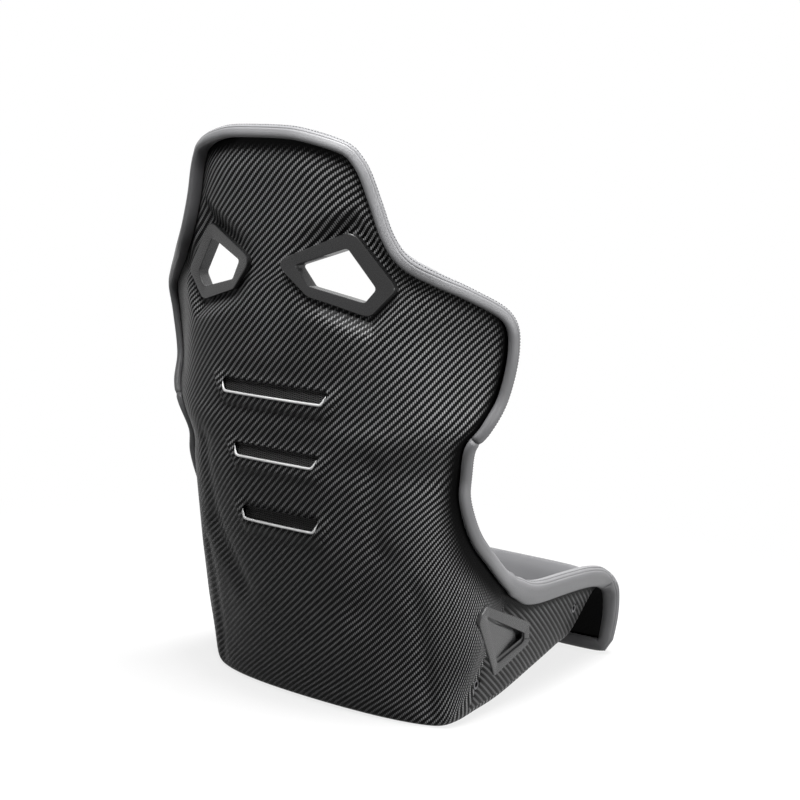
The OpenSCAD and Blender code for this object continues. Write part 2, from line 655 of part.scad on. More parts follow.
// Pad over stations t0 to t1 and from s0(t) to s1(t); across and along list the channels and
// taper is the share of the thickness lost from t0 to t1
module pad(t0, t1, s_low, s_high, thick, nu, nv, across = [], along = [], taper = 0) {
  spots = [
    for (i = [0:nv]) let (v = i / nv, t = t0 + (t1 - t0) * v, a = s_low(t), b = s_high(t))
      [for (j = [0:nu]) let (u = j / nu, s = a + (b - a) * u)
        let (dent = max([0, for (g = across) groove(v, g, 0.06), for (g = along) groove(u, g, 0.07)]))
        [s, t, thick * (1 - taper * v) * dome(u) * dome(v) - channel_depth * dent]]
  ];
  base = [for (row = spots) [for (q = row) inner_at(q[0], q[1], pad_lift)]];
  top = [for (i = [0:nv]) [for (j = [0:nu])
    let (q = spots[i][j]) base[i][j] + q[2] * grow_at(q[0], q[1])]];
  grid_solid(base, top);
}
function roll_clear(t) = s_at_rim(t, skirt_at(t) + pad_gap);
// Station at which the middle of the shell has height z, looked for from station t
function station_at_z(z, t) = locate([0.5, z], [0, 2], 0.01, t)[1];
// The head cushion ends at the tops of the belt guides, the back's cushions start below them
head_pad_end = station_at_z(guide_z + guide_h, 3);
back_pad_start = station_at_z(guide_z - 11, 7);

module head_cushion() {
  color(pad_leather) pad(0.9, head_pad_end, function (t) -roll_clear(t), function (t) roll_clear(t),
    head_pad_t, 12, 8, [], [0.22, 0.78]);
}
module back_cushion() {
  edge = function (t) s_at_x(t, back_pad_w);
  color(pad_leather) pad(back_pad_start, 12.1, function (t) -edge(t), edge, back_pad_t, 14, 20,
    [0.25, 0.5, 0.75], []);
}
module lumbar_cushion() {
  edge = function (t) s_at_x(t, back_pad_w);
  color(pad_leather) pad(12.25, 15.9, function (t) -edge(t), edge, lumbar_pad_t, 14, 14,
    [0.33, 0.67], []);
}
module seat_cushion() {
  edge = function (t) s_at_x(t, seat_pad_w);
  color(pad_leather) difference() {
    pad(18.9, 23.75, function (t) -edge(t), edge, seat_pad_t, 16, 12, [], [0.2, 0.8]);
    at_crotch() linear_extrude(3 * seat_pad_t) slot_2d(
      crotch_l + 2 * (crotch_flange + collar_t + 4), crotch_w + 2 * (crotch_flange + collar_t + 4));
  }
}
module leg_cushion() {
  edge = function (t) s_at_x(t, leg_pad_w);
  color(pad_leather) pad(24.05, 28.3, function (t) -edge(t), edge, leg_pad_t, 16, 14,
    taper = leg_pad_taper);
}
module shoulder_bolster() {
  color(pad_leather) pad(back_pad_start, 11.3, function (t) s_at_x(t, back_pad_w + pad_gap),
    function (t) roll_clear(t), shoulder_pad_t, 8, 10, [0.36, 0.7], []);
}
module hip_bolster() {
  color(pad_leather) pad(11.55, 15.35, function (t) s_at_x(t, back_pad_w + pad_gap),
    function (t) roll_clear(t), hip_pad_t, 8, 10, [0.5], []);
}
module thigh_bolster() {
  color(pad_leather) pad(21.5, 22.78, function (t) s_at_x(t, seat_pad_w + pad_gap),
    function (t) roll_clear(t), thigh_pad_t, 6, 8);
}

// Patch of sheet that lies on the shell's inner face, from gap to gap + thick
module patch(t0, t1, s_low, s_high, gap, thick, nu, nv) {
  spots = [for (i = [0:nv]) let (t = t0 + (t1 - t0) * i / nv, a = s_low(t), b = s_high(t))
    [for (j = [0:nu]) [a + (b - a) * j / nu, t]]];
  base = [for (row = spots) [for (q = row) inner_at(q[0], q[1], gap)]];
  top = [for (row = spots) [for (q = row) inner_at(q[0], q[1], gap + thick)]];
  grid_solid(base, top);
}
// Strip of tape between stations, its middle x from the centre line
module tape_strip(t0, t1, x) {
  patch(t0, t1, function (t) s_at_x(t, x - tape_w / 2), function (t) s_at_x(t, x + tape_w / 2),
    fit + facet_fit, tape_t, 1, 3);
}
tape_gap = 3;
mesh_lap = 8;
tape_beside_vents = vent_low_w + vent_lean + mesh_lap + tape_gap + tape_w / 2;
module hook_and_loop_tape() {
  color(tape_black) for (side = [0, 1]) mirror([side, 0, 0]) {
    tape_strip(1.2, 2.6, head_w - 66);
    tape_strip(7.7, 8.7, back_pad_w - 18);
    tape_strip(12.7, 13.8, tape_beside_vents);
    tape_strip(14.4, 15, tape_beside_vents);
    tape_strip(19.4, 20, seat_pad_w - 52);
    tape_strip(22.3, 23, seat_pad_w - 52);
    tape_strip(26.4, 27.2, seat_pad_w - 52);
    tape_strip(8.6, 10, back_pad_w + 62);
    tape_strip(12.4, 13.4, back_pad_w + 62);
    patch(21.9, 22.5, function (t) 0.74, function (t) 0.84, fit + facet_fit, tape_t, 1, 2);
  }
}

// ---- vent meshes ---------------------------------------------------------------------------------
vent_t = [for (v = VENTS) locate([0.5, v[0] + vent_h / 2], [0, 2], 0.02, 11)[1]];
module vent_mesh(i) {
  half = VENTS[i][1] + vent_lean + mesh_lap;
  reach = norm(face_at(0, vent_t[i] + 0.5) - face_at(0, vent_t[i] - 0.5));
  edge = function (t) s_at_x(t, half);
  color(plastic) patch(vent_t[i] - (vent_h / 2 + 7) / reach, vent_t[i] + (vent_h / 2 + 7) / reach,
    function (t) -edge(t), edge, fit + facet_fit, mesh_t, 10, 2);
}
module vent_mesh_upper() { vent_mesh(0); }
module vent_mesh_middle() { vent_mesh(1); }
module vent_mesh_lower() { vent_mesh(2); }

// ---- belt guides ----------------------------------------------------------------------------------
// Plane through the face at three outline points, as a point of it and its outward normal
function face_plane(three, ax, s, t) =
  let (q = [for (p = three) let (st = locate(p, ax, s, t)) face_at(st[0], st[1])])
  let (n = unit(cross(q[1] - q[0], q[2] - q[0])), d = 3 - ax[0] - ax[1])
  [q[0], n * sign(n[d])];
// Point in line with an outline point, at height h over a plane
function over_plane(p, ax, plane, h) =
  let (d = 3 - ax[0] - ax[1], i = ax[0], j = ax[1], o = plane[0], n = plane[1])
  let (deep = o[d] + (h - n[i] * (p[0] - o[i]) - n[j] * (p[1] - o[j])) / n[d])
  [for (k = [0:2]) k == i ? p[0] : k == j ? p[1] : deep];
// Points of a bezel's face from the rim's outline point a to the hole's b: on a curved bezel they
// lie over the shell, and on a flat one over its plane
function bezel_face(a, b, ax, s, t, plane) =
  let (sa = locate(a, ax, s, t), sb = locate(b, ax, s, t), sm = (sa + sb) / 2)
  let (pa = face_at(sa[0], sa[1]), pb = face_at(sb[0], sb[1]), pm = face_at(sm[0], sm[1]))
  let (na = normal_at(sa[0], sa[1]), nb = normal_at(sb[0], sb[1]), nm = normal_at(sm[0], sm[1]))
  let (out = unit(pa - pb), in2 = b - a)
  plane == undef
  ? [pa + na * (guide_t * 0.5) - out * 0.5, pm + nm * guide_t, pb + nb * guide_t * 0.85 + out]
  : [over_plane(a, ax, plane, guide_t * 0.6), over_plane(a + in2 * 0.15, ax, plane, guide_t),
     over_plane(b, ax, plane, guide_t * 0.85)];
// Bezel outside the shell with a collar through it, along two matched outlines on the face
module outer_guide(rim, hole, ax, s, t, plane) {
  a = [for (p = rim) locate(p, ax, s, t)];
  b = [for (p = hole) locate(p, ax, s, t)];
  rings = [
    for (i = [0:len(rim) - 1])
      let (pa = face_at(a[i][0], a[i][1]), na = normal_at(a[i][0], a[i][1]))
      let (pb = face_at(b[i][0], b[i][1]), nb = normal_at(b[i][0], b[i][1]))
      let (mid = (a[i] + b[i]) / 2, pm = face_at(mid[0], mid[1]), nm = normal_at(mid[0], mid[1]))
      let (out = unit(pa - pb), pc = pb + out * collar_t)
      concat(
        [pa + na * fit], bezel_face(rim[i], hole[i], ax, s, t, plane),
        [pb + nb * guide_t * 0.5, pb - nb * (shell_t + 2.5), pc - nb * (shell_t + 2.5),
         pc + nb * fit, pm + nm * fit]
      )
  ];
  loop_solid(rings, ax[0] == 1);
}
// Bezel inside the shell that closes round the collar
module inner_guide(rim, hole, ax, s, t) {
  a = [for (p = rim) locate(p, ax, s, t)];
  b = [for (p = hole) locate(p, ax, s, t)];
  low = shell_t + fit + facet_fit;
  high = low + guide_t;
  rings = [
    for (i = [0:len(rim) - 1])
      let (pa = face_at(a[i][0], a[i][1]), na = normal_at(a[i][0], a[i][1]))
      let (pb = face_at(b[i][0], b[i][1]), nb = normal_at(b[i][0], b[i][1]))
      let (mid = (a[i] + b[i]) / 2, pm = face_at(mid[0], mid[1]), nm = normal_at(mid[0], mid[1]))
      let (out = unit(pa - pb), pc = pb + out * (collar_t + fit))
      [
        pa - na * low, pm - nm * low, pc - nb * low, pc - nb * high * 0.9, pm - nm * high,
        pa - na * (low + 1.5)
      ]
  ];
  loop_solid(rings, ax[0] == 0);
}
module shoulder_guide_rear() {
  color(plastic) outer_guide(guide_rim, guide_hole, [0, 2], 0.35, 5);
}
module shoulder_guide_front() {
  color(plastic) inner_guide(guide_rim, guide_hole, [0, 2], 0.35, 5);
}
module lap_guide_outer() {
  flat_face = face_plane([for (i = [4, 2, 3]) lap_inner[i]], [1, 2], 0.86, 18.5);
  color(plastic) outer_guide(lap_rim, lap_hole, [1, 2], 0.86, 18.5, flat_face);
}
module lap_guide_inner() {
  color(plastic) inner_guide(lap_rim, lap_hole, [1, 2], 0.86, 18.5);
}

module crotch_guide_lower() {
  color(plastic) at_crotch() difference() {
    union() {
      translate([0, 0, -fit - crotch_t]) linear_extrude(crotch_t)
        slot_2d(crotch_l + 2 * (crotch_flange + collar_t), crotch_w + 2 * (crotch_flange + collar_t));
      translate([0, 0, -fit - crotch_t]) linear_extrude(crotch_t + shell_t + 2 * fit + crotch_t)
        slot_2d(crotch_l + 2 * collar_t, crotch_w + 2 * collar_t);
    }
    translate([0, 0, -20]) linear_extrude(60) slot_2d(crotch_l, crotch_w);
  }
}
module crotch_guide_upper() {
  color(plastic) at_crotch() translate([0, 0, shell_t + fit + facet_fit]) linear_extrude(crotch_t)
    difference() {
      slot_2d(crotch_l + 2 * (crotch_flange + collar_t), crotch_w + 2 * (crotch_flange + collar_t));
      slot_2d(crotch_l + 2 * (collar_t + fit), crotch_w + 2 * (collar_t + fit));
    }
}

// ---- side mounts ------------------------------------------------------------------------------------
// Flanged steel boss behind each mounting hole, its mouth flush with the shell
module mount_inserts() {
  color(steel) for (i = [0, 1]) {
    n = normal_at(mount_station[i][0], mount_station[i][1]);
    lean = flange_r * sqrt(1 - n[0] * n[0]) / n[0];
    translate([mount_face[i][0], MOUNTS[i][0], MOUNTS[i][1]]) rotate([0, -90, 0]) difference() {
      union() {
        cylinder(r = boss_r, h = mount_l, $fn = 48);
        translate([0, 0, shell_t / n[0] + lean + fit]) cylinder(r = flange_r, h = flange_t, $fn = 48);
      }
      translate([0, 0, -1]) cylinder(r = mount_r, h = mount_l + 2, $fn = 48);
    }
  }
}

carbon_shell();
upper_edge_roll();
lower_edge_roll();  // lower_edge_roll_left
mirror([1, 0, 0]) lower_edge_roll();  // lower_edge_roll_right
front_edge_roll();
head_cushion();
back_cushion();
lumbar_cushion();
seat_cushion();
leg_cushion();
shoulder_bolster();  // shoulder_bolster_left
mirror([1, 0, 0]) shoulder_bolster();  // shoulder_bolster_right
hip_bolster();  // hip_bolster_left
mirror([1, 0, 0]) hip_bolster();  // hip_bolster_right
thigh_bolster();  // thigh_bolster_left
mirror([1, 0, 0]) thigh_bolster();  // thigh_bolster_right
hook_and_loop_tape();
shoulder_guide_rear();  // shoulder_guide_rear_left
mirror([1, 0, 0]) shoulder_guide_rear();  // shoulder_guide_rear_right
shoulder_guide_front();  // shoulder_guide_front_left
mirror([1, 0, 0]) shoulder_guide_front();  // shoulder_guide_front_right
lap_guide_outer();  // lap_guide_outer_left
mirror([1, 0, 0]) lap_guide_outer();  // lap_guide_outer_right
lap_guide_inner();  // lap_guide_inner_left
mirror([1, 0, 0]) lap_guide_inner();  // lap_guide_inner_right
crotch_guide_lower();
crotch_guide_upper();
vent_mesh_upper();
vent_mesh_middle();
vent_mesh_lower();
mount_inserts();  // mount_inserts_left
mirror([1, 0, 0]) mount_inserts();  // mount_inserts_right
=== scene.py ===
import math
import bpy
import numpy as np
from mathutils import Euler, Matrix, Vector


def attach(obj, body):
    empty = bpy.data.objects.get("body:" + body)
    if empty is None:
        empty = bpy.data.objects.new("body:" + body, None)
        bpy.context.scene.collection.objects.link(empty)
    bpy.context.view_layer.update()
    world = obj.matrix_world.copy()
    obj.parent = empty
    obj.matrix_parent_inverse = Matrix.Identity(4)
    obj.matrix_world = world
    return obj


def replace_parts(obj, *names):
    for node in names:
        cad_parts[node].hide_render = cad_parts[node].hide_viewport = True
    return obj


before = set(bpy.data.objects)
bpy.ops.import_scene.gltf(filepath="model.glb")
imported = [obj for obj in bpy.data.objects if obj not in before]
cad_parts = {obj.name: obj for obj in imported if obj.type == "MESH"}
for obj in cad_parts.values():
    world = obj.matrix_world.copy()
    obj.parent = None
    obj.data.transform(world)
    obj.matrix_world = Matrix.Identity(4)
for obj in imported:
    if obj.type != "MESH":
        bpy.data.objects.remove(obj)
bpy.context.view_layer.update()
mm = 0.001

# the shell's surface, from the same sizes as the part
# each row: back point y, z, rim point y, z, half width, half width of the flat, its depth,
# softness of the crease, swell of the side, forward bow, all in mm
soft = 25
head = (334, 783, 310, 764, 116, 80, 6, soft, 0, 0)
neck = (311, 637, 270, 637, 176, 120, 16, soft, 0, 0)
shoulder = (304, 570, 176, 572, 275, 160, 26, soft, 0, 0)
wing = (289, 470, 160, 474, 268, 159, 20, soft, 4, 0)
seam = (280, 406, 186, 406, 240, 151, 12, soft, 6, 0)
waist = (270, 331, 168, 328, 228, 138, 8, soft, 10, 8)
hip = (214, 147, 101, 240, 238, 155, 8, soft, 36, 22)
heel = (161, 3, 42, 197, 245, 204, -4, 10, 10, 42)
pan = (-11, 6, -37, 176, 250, 210, -2, 8, 4, 0)
thigh = (-242, 47, -239, 156, 248, 210, 0, 8, 0, 0)
hump = (-292, 115, -298, 130, 243, 210, 1, 16, 0, 0)
hem = (-325, 16, -333, 16, 230, 195, 1, 16, 0, 0)


def between(p, q, share, push):
    return tuple(a + share * (b - a) + c for a, b, c in zip(p, q, push))


stationRows = np.array([
    head,
    between(head, neck, 0.23, (-1, 0, 0, 7, 0, 1, -3, 0, 0, 0)),
    between(head, neck, 0.53, (-3, 0, 2, 8, -5, -1, -5, 0, 0, 0)),
    between(head, neck, 0.81, (-2, 0, 5, 4, -7, -2, -4, 0, 0, 0)),
    neck,
    between(neck, shoulder, 0.34, (0, 0, 4, 1, -3, 1, 1, 0, 0, 0)),
    between(neck, shoulder, 0.64, (0, 0, -1, 1, 3, 8, 2, 0, 0, 0)),
    shoulder,
    between(shoulder, wing, 0.4, (1, 0, -8, 1, 6, 0, 0, 0, -2, 0)),
    wing,
    between(wing, seam, 0.6, (-1, 0, 2, 0, 5, 0, 1, 0, 1, 0)),
    seam,
    between(seam, waist, 0.53, (-1, 0, -4, 0, -5, 0, 0, 0, -2, 0)),
    waist,
    between(waist, hip, 0.5, (4, 0, 5, -6, -1, -11, 0, 0, 1, -1)),
    hip,
    between(hip, heel, 0.61, (2, 0, 6, 0, 0, 3, 3, 4, 14, 2)),
    between(hip, heel, 0.88, (4, -2, 3, 1, 0, 4, 1, -2, 3, 4)),
    heel,
    between(heel, pan, 0.17, (-1, -3, -2, -2, 0, 3, 2, -2, 0, -1)),
    between(heel, pan, 0.5, (4, -2, -2, -5, 0, 3, 1, -1, -1, -3)),
    pan,
    between(pan, thigh, 0.43, (-1, -3, 10, 4, 1, 0, 1, 0, 0, 0)),
    between(pan, thigh, 0.77, (-1, -3, 7, 5, 1, 0, 1, 0, 0, 0)),
    thigh,
    between(thigh, hump, 0.64, (0, -4, 7, 5, 1, 0, 0, 0, 0, 0)),
    hump,
    between(hump, hem, 0.36, (-7, 28, -10, 20, 2, 4, 0, 0, 0, 0)),
    between(hump, hem, 0.8, (-4, 32, -4, 28, 5, 6, 0, 0, 0, 0)),
    hem], float)
lastStation = len(stationRows) - 1
wallThickness = 3.5


def rowsAt(t):
    # smooth blend through the rows
    c = np.clip(t, 0, lastStation)
    i = np.minimum(np.floor(c).astype(int), lastStation - 1)
    u = (c - i)[:, None]
    b, d = stationRows[i], stationRows[i + 1]
    a = np.where(i[:, None] == 0, 2 * b - d, stationRows[np.maximum(i - 1, 0)])
    e = np.where(i[:, None] == lastStation - 1, 2 * d - b, stationRows[np.minimum(i + 2, lastStation)])
    return 0.5 * (2 * b + (d - a) * u + (2 * a - 5 * b + 4 * d - e) * u**2 + (3 * b - a - 3 * d + e) * u**3)


def splineWeights(s):
    # clamped cubic B-spline of six control points
    knots = [0, 0, 0, 0, 1 / 3, 2 / 3, 1, 1, 1, 1]
    s = np.minimum(np.abs(s), 0.999999)
    level = [((knots[i] <= s) & (s < knots[i + 1])).astype(float) for i in range(9)]
    for k in (1, 2, 3):
        nextLevel = []
        for i in range(9 - k):
            left = knots[i + k] - knots[i]
            right = knots[i + k + 1] - knots[i + 1]
            value = np.zeros_like(s)
            if left:
                value = value + (s - knots[i]) / left * level[i]
            if right:
                value = value + (knots[i + k + 1] - s) / right * level[i + 1]
            nextLevel.append(value)
        level = nextLevel
    return np.array(level)


def unit(v):
    return v / np.maximum(np.linalg.norm(v, axis=-1, keepdims=True), 1e-9)


def sections(t):
    q = rowsAt(t)
    along = np.stack([q[:, 2] + q[:, 9] - q[:, 0], q[:, 3] - q[:, 1]], 1)
    depth = np.linalg.norm(along, axis=1)
    crease, rim = q[:, 5:7], np.stack([q[:, 4], depth], 1)
    mid = np.stack([q[:, 5] / 2, np.zeros(len(q))], 1)
    u, v = unit(crease - mid), unit(rim - crease)
    out = np.stack([v[:, 1], -v[:, 0]], 1)
    p2 = crease - u * q[:, 7:8]
    p3 = crease + v * np.minimum(q[:, 7:8], np.linalg.norm(rim - crease, axis=1, keepdims=True) * 0.4)
    p4 = (p3 + rim) / 2 + out * q[:, 8:9]
    p3 = p3 + out * q[:, 8:9] * 0.6
    control = np.stack([np.zeros_like(mid), mid, p2, p3, p4, rim], 1)
    bow = q[:, 9:10] * np.array([0, 0, 0.75, 1, 1, 1])
    return q, control, bow, unit(along), out


def smoothStep(value, low, high):
    u = np.clip((value - low) / (high - low), 0, 1)
    return u * u * (3 - 2 * u)


shoulderGuide = dict(
    rim=((18.5, 627), (59.5, 586), (136.5, 564.5), (170.5, 604), (115.5, 672.5)),
    corners=(14, 18, 16, 13, 18),
    hole=((45, 624.3), (61.5, 598.8), (131, 583), (145.5, 601.6), (109.3, 650)),
    holeCorners=(4, 7, 6, 7, 6),
    thick=8, collar=2.5, deep=7, shellCorner=6)
lapGuide = dict(
    rim=((109, 180.5), (-26, 126.5), (-41, 90.5), (44, 60), (125.5, 161)),
    corners=(4, 8, 9, 8, 14),
    hole=((103, 163), (-17, 111.7), (-23, 97.5), (44.5, 79.5), (99.5, 156)),
    holeCorners=(2, 5, 5, 8, 2),
    plane=((240.5, 42, 128.5), (0.987, 0.045, -0.155)), collar=2.5, deep=1.5, shellCorner=5)
# flats under the guides: push along an axis to below a plane, inside an outline and a margin round it
flats = (
    dict(axis=1, spot=(22, 311.5, 620), normal=(0.35, 1, -0.08),
         outline=shoulderGuide["rim"], margin=28, under=1, round=4),
    dict(axis=0, spot=lapGuide["plane"][0], normal=lapGuide["plane"][1],
         outline=lapGuide["rim"], margin=9, under=2, round=0.8))
# where the pressings fade out: forward of the back, towards the rim, and inwards from the side walls
fades = dict(back=(110, 150), rim=(0.8, 0.95), side=(150, 180))
# the head's surface falls away towards its rim; hollows lie above and beside each hip
dome = dict(sink=9, reachSide=66, reachTop=50, headWidth=116, rowHeight=36, stations=(4.5, 8.5))
hollows = (((141, 372), (138, 255), 13, 4.5), ((146, 246), (96, 160), 17, 7), ((178, 205), (184, 20), 10, 4))


def insideShare(a, b, corners, margin):
    # 1 inside a convex outline, falling to 0 over a margin round it
    corners = np.array(corners, float)
    after = np.roll(corners, -1, 0)
    turn = np.sign(np.sum(corners[:, 0] * after[:, 1] - after[:, 0] * corners[:, 1]))
    nearest = np.full(a.shape, 1e9)
    for p, way in zip(corners, unit(after - corners)):
        nearest = np.minimum(nearest, turn * (way[0] * (b - p[1]) - way[1] * (a - p[0])))
    return smoothStep(nearest, -margin, 0)


def sinkAt(t):
    return dome["sink"] * (1 - smoothStep(t, *dome["stations"]))


def pressForms(points, s, t):
    x, y, z = np.abs(points[..., 0]), points[..., 1], points[..., 2]
    back = smoothStep(y, *fades["back"])
    side = 1 - smoothStep((1 - np.abs(s)) * dome["headWidth"], 0, dome["reachSide"])
    top = 1 - smoothStep(t * dome["rowHeight"], 0, dome["reachTop"])
    push = sinkAt(t) * (side + top - side * top)
    for (x0, z0), (x1, z1), width, deep in hollows:
        u = np.clip(((x - x0) * (x1 - x0) + (z - z0) * (z1 - z0)) / ((x1 - x0)**2 + (z1 - z0)**2), 0, 1)
        away = np.hypot(x - x0 - u * (x1 - x0), z - z0 - u * (z1 - z0))
        push = push + deep * np.exp(-(away / width)**2)
    y = y - push * back
    for flat in flats:
        axis, spot, normal = flat["axis"], flat["spot"], flat["normal"]
        over = normal[0] * (x - spot[0]) + normal[1] * (y - spot[1]) + normal[2] * (z - spot[2])
        over = over / normal[axis] + flat["under"]
        depth = (over + np.sqrt(over**2 + flat["round"]**2)) / 2
        if axis == 1:
            within = insideShare(x, z, flat["outline"], flat["margin"])
            share = within * (1 - smoothStep(np.abs(s), *fades["rim"])) * back
            y = y - share * depth
        else:
            within = insideShare(y, z, flat["outline"], flat["margin"])
            x = x - within * depth * smoothStep(x, *fades["side"])
    return np.stack([np.sign(points[..., 0]) * x, y, z], -1)


def plainFace(s, t):
    # point of the shell's plain outer face, s from -1 to 1 across, t from head to hem
    s, t = np.broadcast_arrays(np.asarray(s, float), np.asarray(t, float))
    shape = s.shape
    s, t = s.ravel(), t.ravel()
    q, control, bow, depthWay, _ = sections(t)
    w = splineWeights(s)
    x = np.sign(s) * np.einsum("in,ni->n", w, control[:, :, 0])
    h = np.einsum("in,ni->n", w, control[:, :, 1])
    f = np.einsum("in,ni->n", w, bow)
    points = np.stack([x, q[:, 0] + depthWay[:, 0] * h - f, q[:, 1] + depthWay[:, 1] * h], 1)
    return points.reshape(shape + (3,))


def faceAt(s, t):
    s, t = np.broadcast_arrays(np.asarray(s, float), np.asarray(t, float))
    return pressForms(plainFace(s, t), s, t)


def normalAt(s, t, face=faceAt):
    s, t = np.broadcast_arrays(np.asarray(s, float), np.asarray(t, float))
    s0, s1 = np.clip(s - 0.004, -0.999, 0.999), np.clip(s + 0.004, -0.999, 0.999)
    t0, t1 = np.clip(t - 0.02, 0, lastStation), np.clip(t + 0.02, 0, lastStation)
    return unit(np.cross(face(s1, t) - face(s0, t), face(s, t1) - face(s, t0)))


def growAt(s, t):
    # way in which padding grows: with the section in the middle, square to the side at the rim
    s, t = np.broadcast_arrays(np.asarray(s, float), np.asarray(t, float))
    shape = s.shape
    _, _, _, way, out = sections(t.ravel())
    flat = s.ravel()
    m = np.abs(flat)**1.5
    keep = 1 - m - out[:, 1] * m
    grow = np.stack([-np.sign(flat) * out[:, 0] * m, way[:, 0] * keep, way[:, 1] * keep], 1)
    return unit(grow).reshape(shape + (3,))


def stationAtX(t, x):
    # s at which the shell is x from the centre line
    low, high = np.zeros(len(t)), np.ones(len(t))
    for _ in range(14):
        mid = (low + high) / 2
        inside = faceAt(mid, t)[:, 0] < x
        low, high = np.where(inside, mid, low), np.where(inside, high, mid)
    return (low + high) / 2


def stationAtRim(t, distance):
    # s that lies a distance inside the rim
    low, high = np.full(len(t), 0.5), np.ones(len(t))
    rim = faceAt(np.ones(len(t)), t)
    for _ in range(12):
        mid = (low + high) / 2
        far = np.linalg.norm(faceAt(mid, t) - rim, axis=1) > distance
        low, high = np.where(far, mid, low), np.where(far, high, mid)
    return low


def locate(points, axes, s, t):
    # s and t at which the shell passes through pairs of coordinates, by Newton's rule
    points = np.asarray(points, float)
    s, t = np.full(len(points), float(s)), np.full(len(points), float(t))
    for _ in range(12):
        a = faceAt(s, t)
        bs = (faceAt(s + 0.01, t) - a) / 0.01
        ct = (faceAt(s, t + 0.05) - a) / 0.05
        i, j = axes
        r0, r1 = points[:, 0] - a[:, i], points[:, 1] - a[:, j]
        det = bs[:, i] * ct[:, j] - bs[:, j] * ct[:, i]
        det = np.where(np.abs(det) < 1e-9, 1e-9, det)
        ds, dt = (r0 * ct[:, j] - r1 * ct[:, i]) / det, (bs[:, i] * r1 - bs[:, j] * r0) / det
        s = np.clip(s + np.clip(ds, -0.15, 0.15), 0.005, 0.97)
        t = np.clip(t + np.clip(dt, -1.5, 1.5), 0, lastStation - 1)
    return s, t


# mesh helpers
def outward(points, faces):
    # turns a closed mesh's faces outwards
    points = np.asarray(points, float)
    total = 0.0
    for count in {len(f) for f in faces}:
        corners = points[np.array([f for f in faces if len(f) == count])]
        for k in range(1, count - 1):
            total += np.einsum("ij,ij->", corners[:, 0], np.cross(corners[:, k], corners[:, k + 1]))
    return faces if total > 0 else [f[::-1] for f in faces]


def makePiece(name, points, faces, material, slot, uvs=None, sharp=None):
    # a smooth piece that rides on the seat; sharp is the angle past which its edges stay sharp
    mesh = bpy.data.meshes.new(name)
    mesh.from_pydata((np.asarray(points) * mm).tolist(), [], outward(points, faces))
    for uvName, values in (uvs or {}).items():
        layer = mesh.uv_layers.new(name=uvName)
        corners = np.zeros(len(mesh.loops), np.int32)
        mesh.loops.foreach_get("vertex_index", corners)
        layer.data.foreach_set("uv", np.asarray(values, np.float32)[corners].ravel())
    mesh.polygons.foreach_set("use_smooth", [True] * len(mesh.polygons))
    if sharp:
        mesh.set_sharp_from_angle(angle=math.radians(sharp))
    mesh.materials.append(material)
    piece = bpy.data.objects.new(name, mesh)
    bpy.context.scene.collection.objects.link(piece)
    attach(piece, "root")
    return piece


def gridFaces(m, n, offset=0, flip=False):
    i, j = np.meshgrid(np.arange(m - 1), np.arange(n - 1), indexing="ij")
    a = (i * n + j).ravel() + offset
    quads = np.stack([a, a + n, a + n + 1, a + 1], 1)
    return (quads[:, ::-1] if flip else quads).tolist()


def borderFaces(m, n, k):
    # walls that join the borders of two m by n grids, the second k points on
    top = np.arange(n)
    bottom = (m - 1) * n + top
    left = np.arange(m) * n
    right = left + n - 1
    faces = []
    for line, flip in ((top, False), (bottom, True), (left, True), (right, False)):
        a, b = line[:-1], line[1:]
        quads = np.stack([a, b, b + k, a + k], 1)
        faces += (quads[:, ::-1] if flip else quads).tolist()
    return faces


def loopFaces(m, n, closed=True, flip=False):
    # m rings of n points; the rings join up again when closed
    i, j = np.meshgrid(np.arange(m if closed else m - 1), np.arange(n), indexing="ij")
    i, j = i.ravel(), j.ravel()
    a, b = i * n + j, i * n + (j + 1) % n
    c, d = (i + 1) % m * n + (j + 1) % n, (i + 1) % m * n + j
    quads = np.stack([a, b, c, d], 1)
    return (quads[:, ::-1] if flip else quads).tolist()


def closedSheet(top, under):
    # closed thin body between two grids of points
    m, n = top.shape[:2]
    points = np.concatenate([top.reshape(-1, 3), under.reshape(-1, 3)])
    return points, gridFaces(m, n) + gridFaces(m, n, m * n, flip=True) + borderFaces(m, n, m * n)


def joinParts(parts):
    # joins (points, faces) pairs into one
    points, faces, count = [], [], 0
    for p, f in parts:
        points.append(np.asarray(p).reshape(-1, 3))
        faces += [[v + count for v in face] for face in f]
        count += len(points[-1])
    return np.vstack(points), faces


def mirrored(points, faces):
    return np.asarray(points) * (-1, 1, 1), [face[::-1] for face in faces]


def ringWays(ahead, sides):
    # unit vectors round each of a row of directions; the seed is only a direction that no path follows
    seed = (0.31, 0.52, 0.8)
    up = unit(np.cross(ahead, unit(np.cross(ahead, seed))))
    side = np.cross(ahead, up)
    turn = 2 * math.pi * np.arange(sides) / sides
    return np.cos(turn)[:, None] * up[:, None] + np.sin(turn)[:, None] * side[:, None]


def tube(path, radius, sides=8, closed=False):
    # round tube along a path of points
    path = np.asarray(path, float)
    ahead = np.roll(path, -1, 0) - np.roll(path, 1, 0)
    if not closed:
        ahead[0], ahead[-1] = path[1] - path[0], path[-1] - path[-2]
    rings = path[:, None] + radius * ringWays(unit(ahead), sides)
    faces = loopFaces(len(path), sides, closed)
    if not closed:
        last = (len(path) - 1) * sides
        faces += [list(range(sides))[::-1], [last + k for k in range(sides)]]
    return rings.reshape(-1, 3), faces


def resample(path, spacing, closed=False):
    path = np.asarray(path, float)
    if closed:
        path = np.vstack([path, path[:1]])
    length = np.concatenate([[0], np.cumsum(np.linalg.norm(np.diff(path, axis=0), axis=1))])
    count = max(2, int(round(length[-1] / spacing)) + 1)
    where = np.linspace(0, length[-1], count)
    if closed:
        where = where[:-1]
    return np.stack([np.interp(where, length, path[:, k]) for k in range(3)], 1)


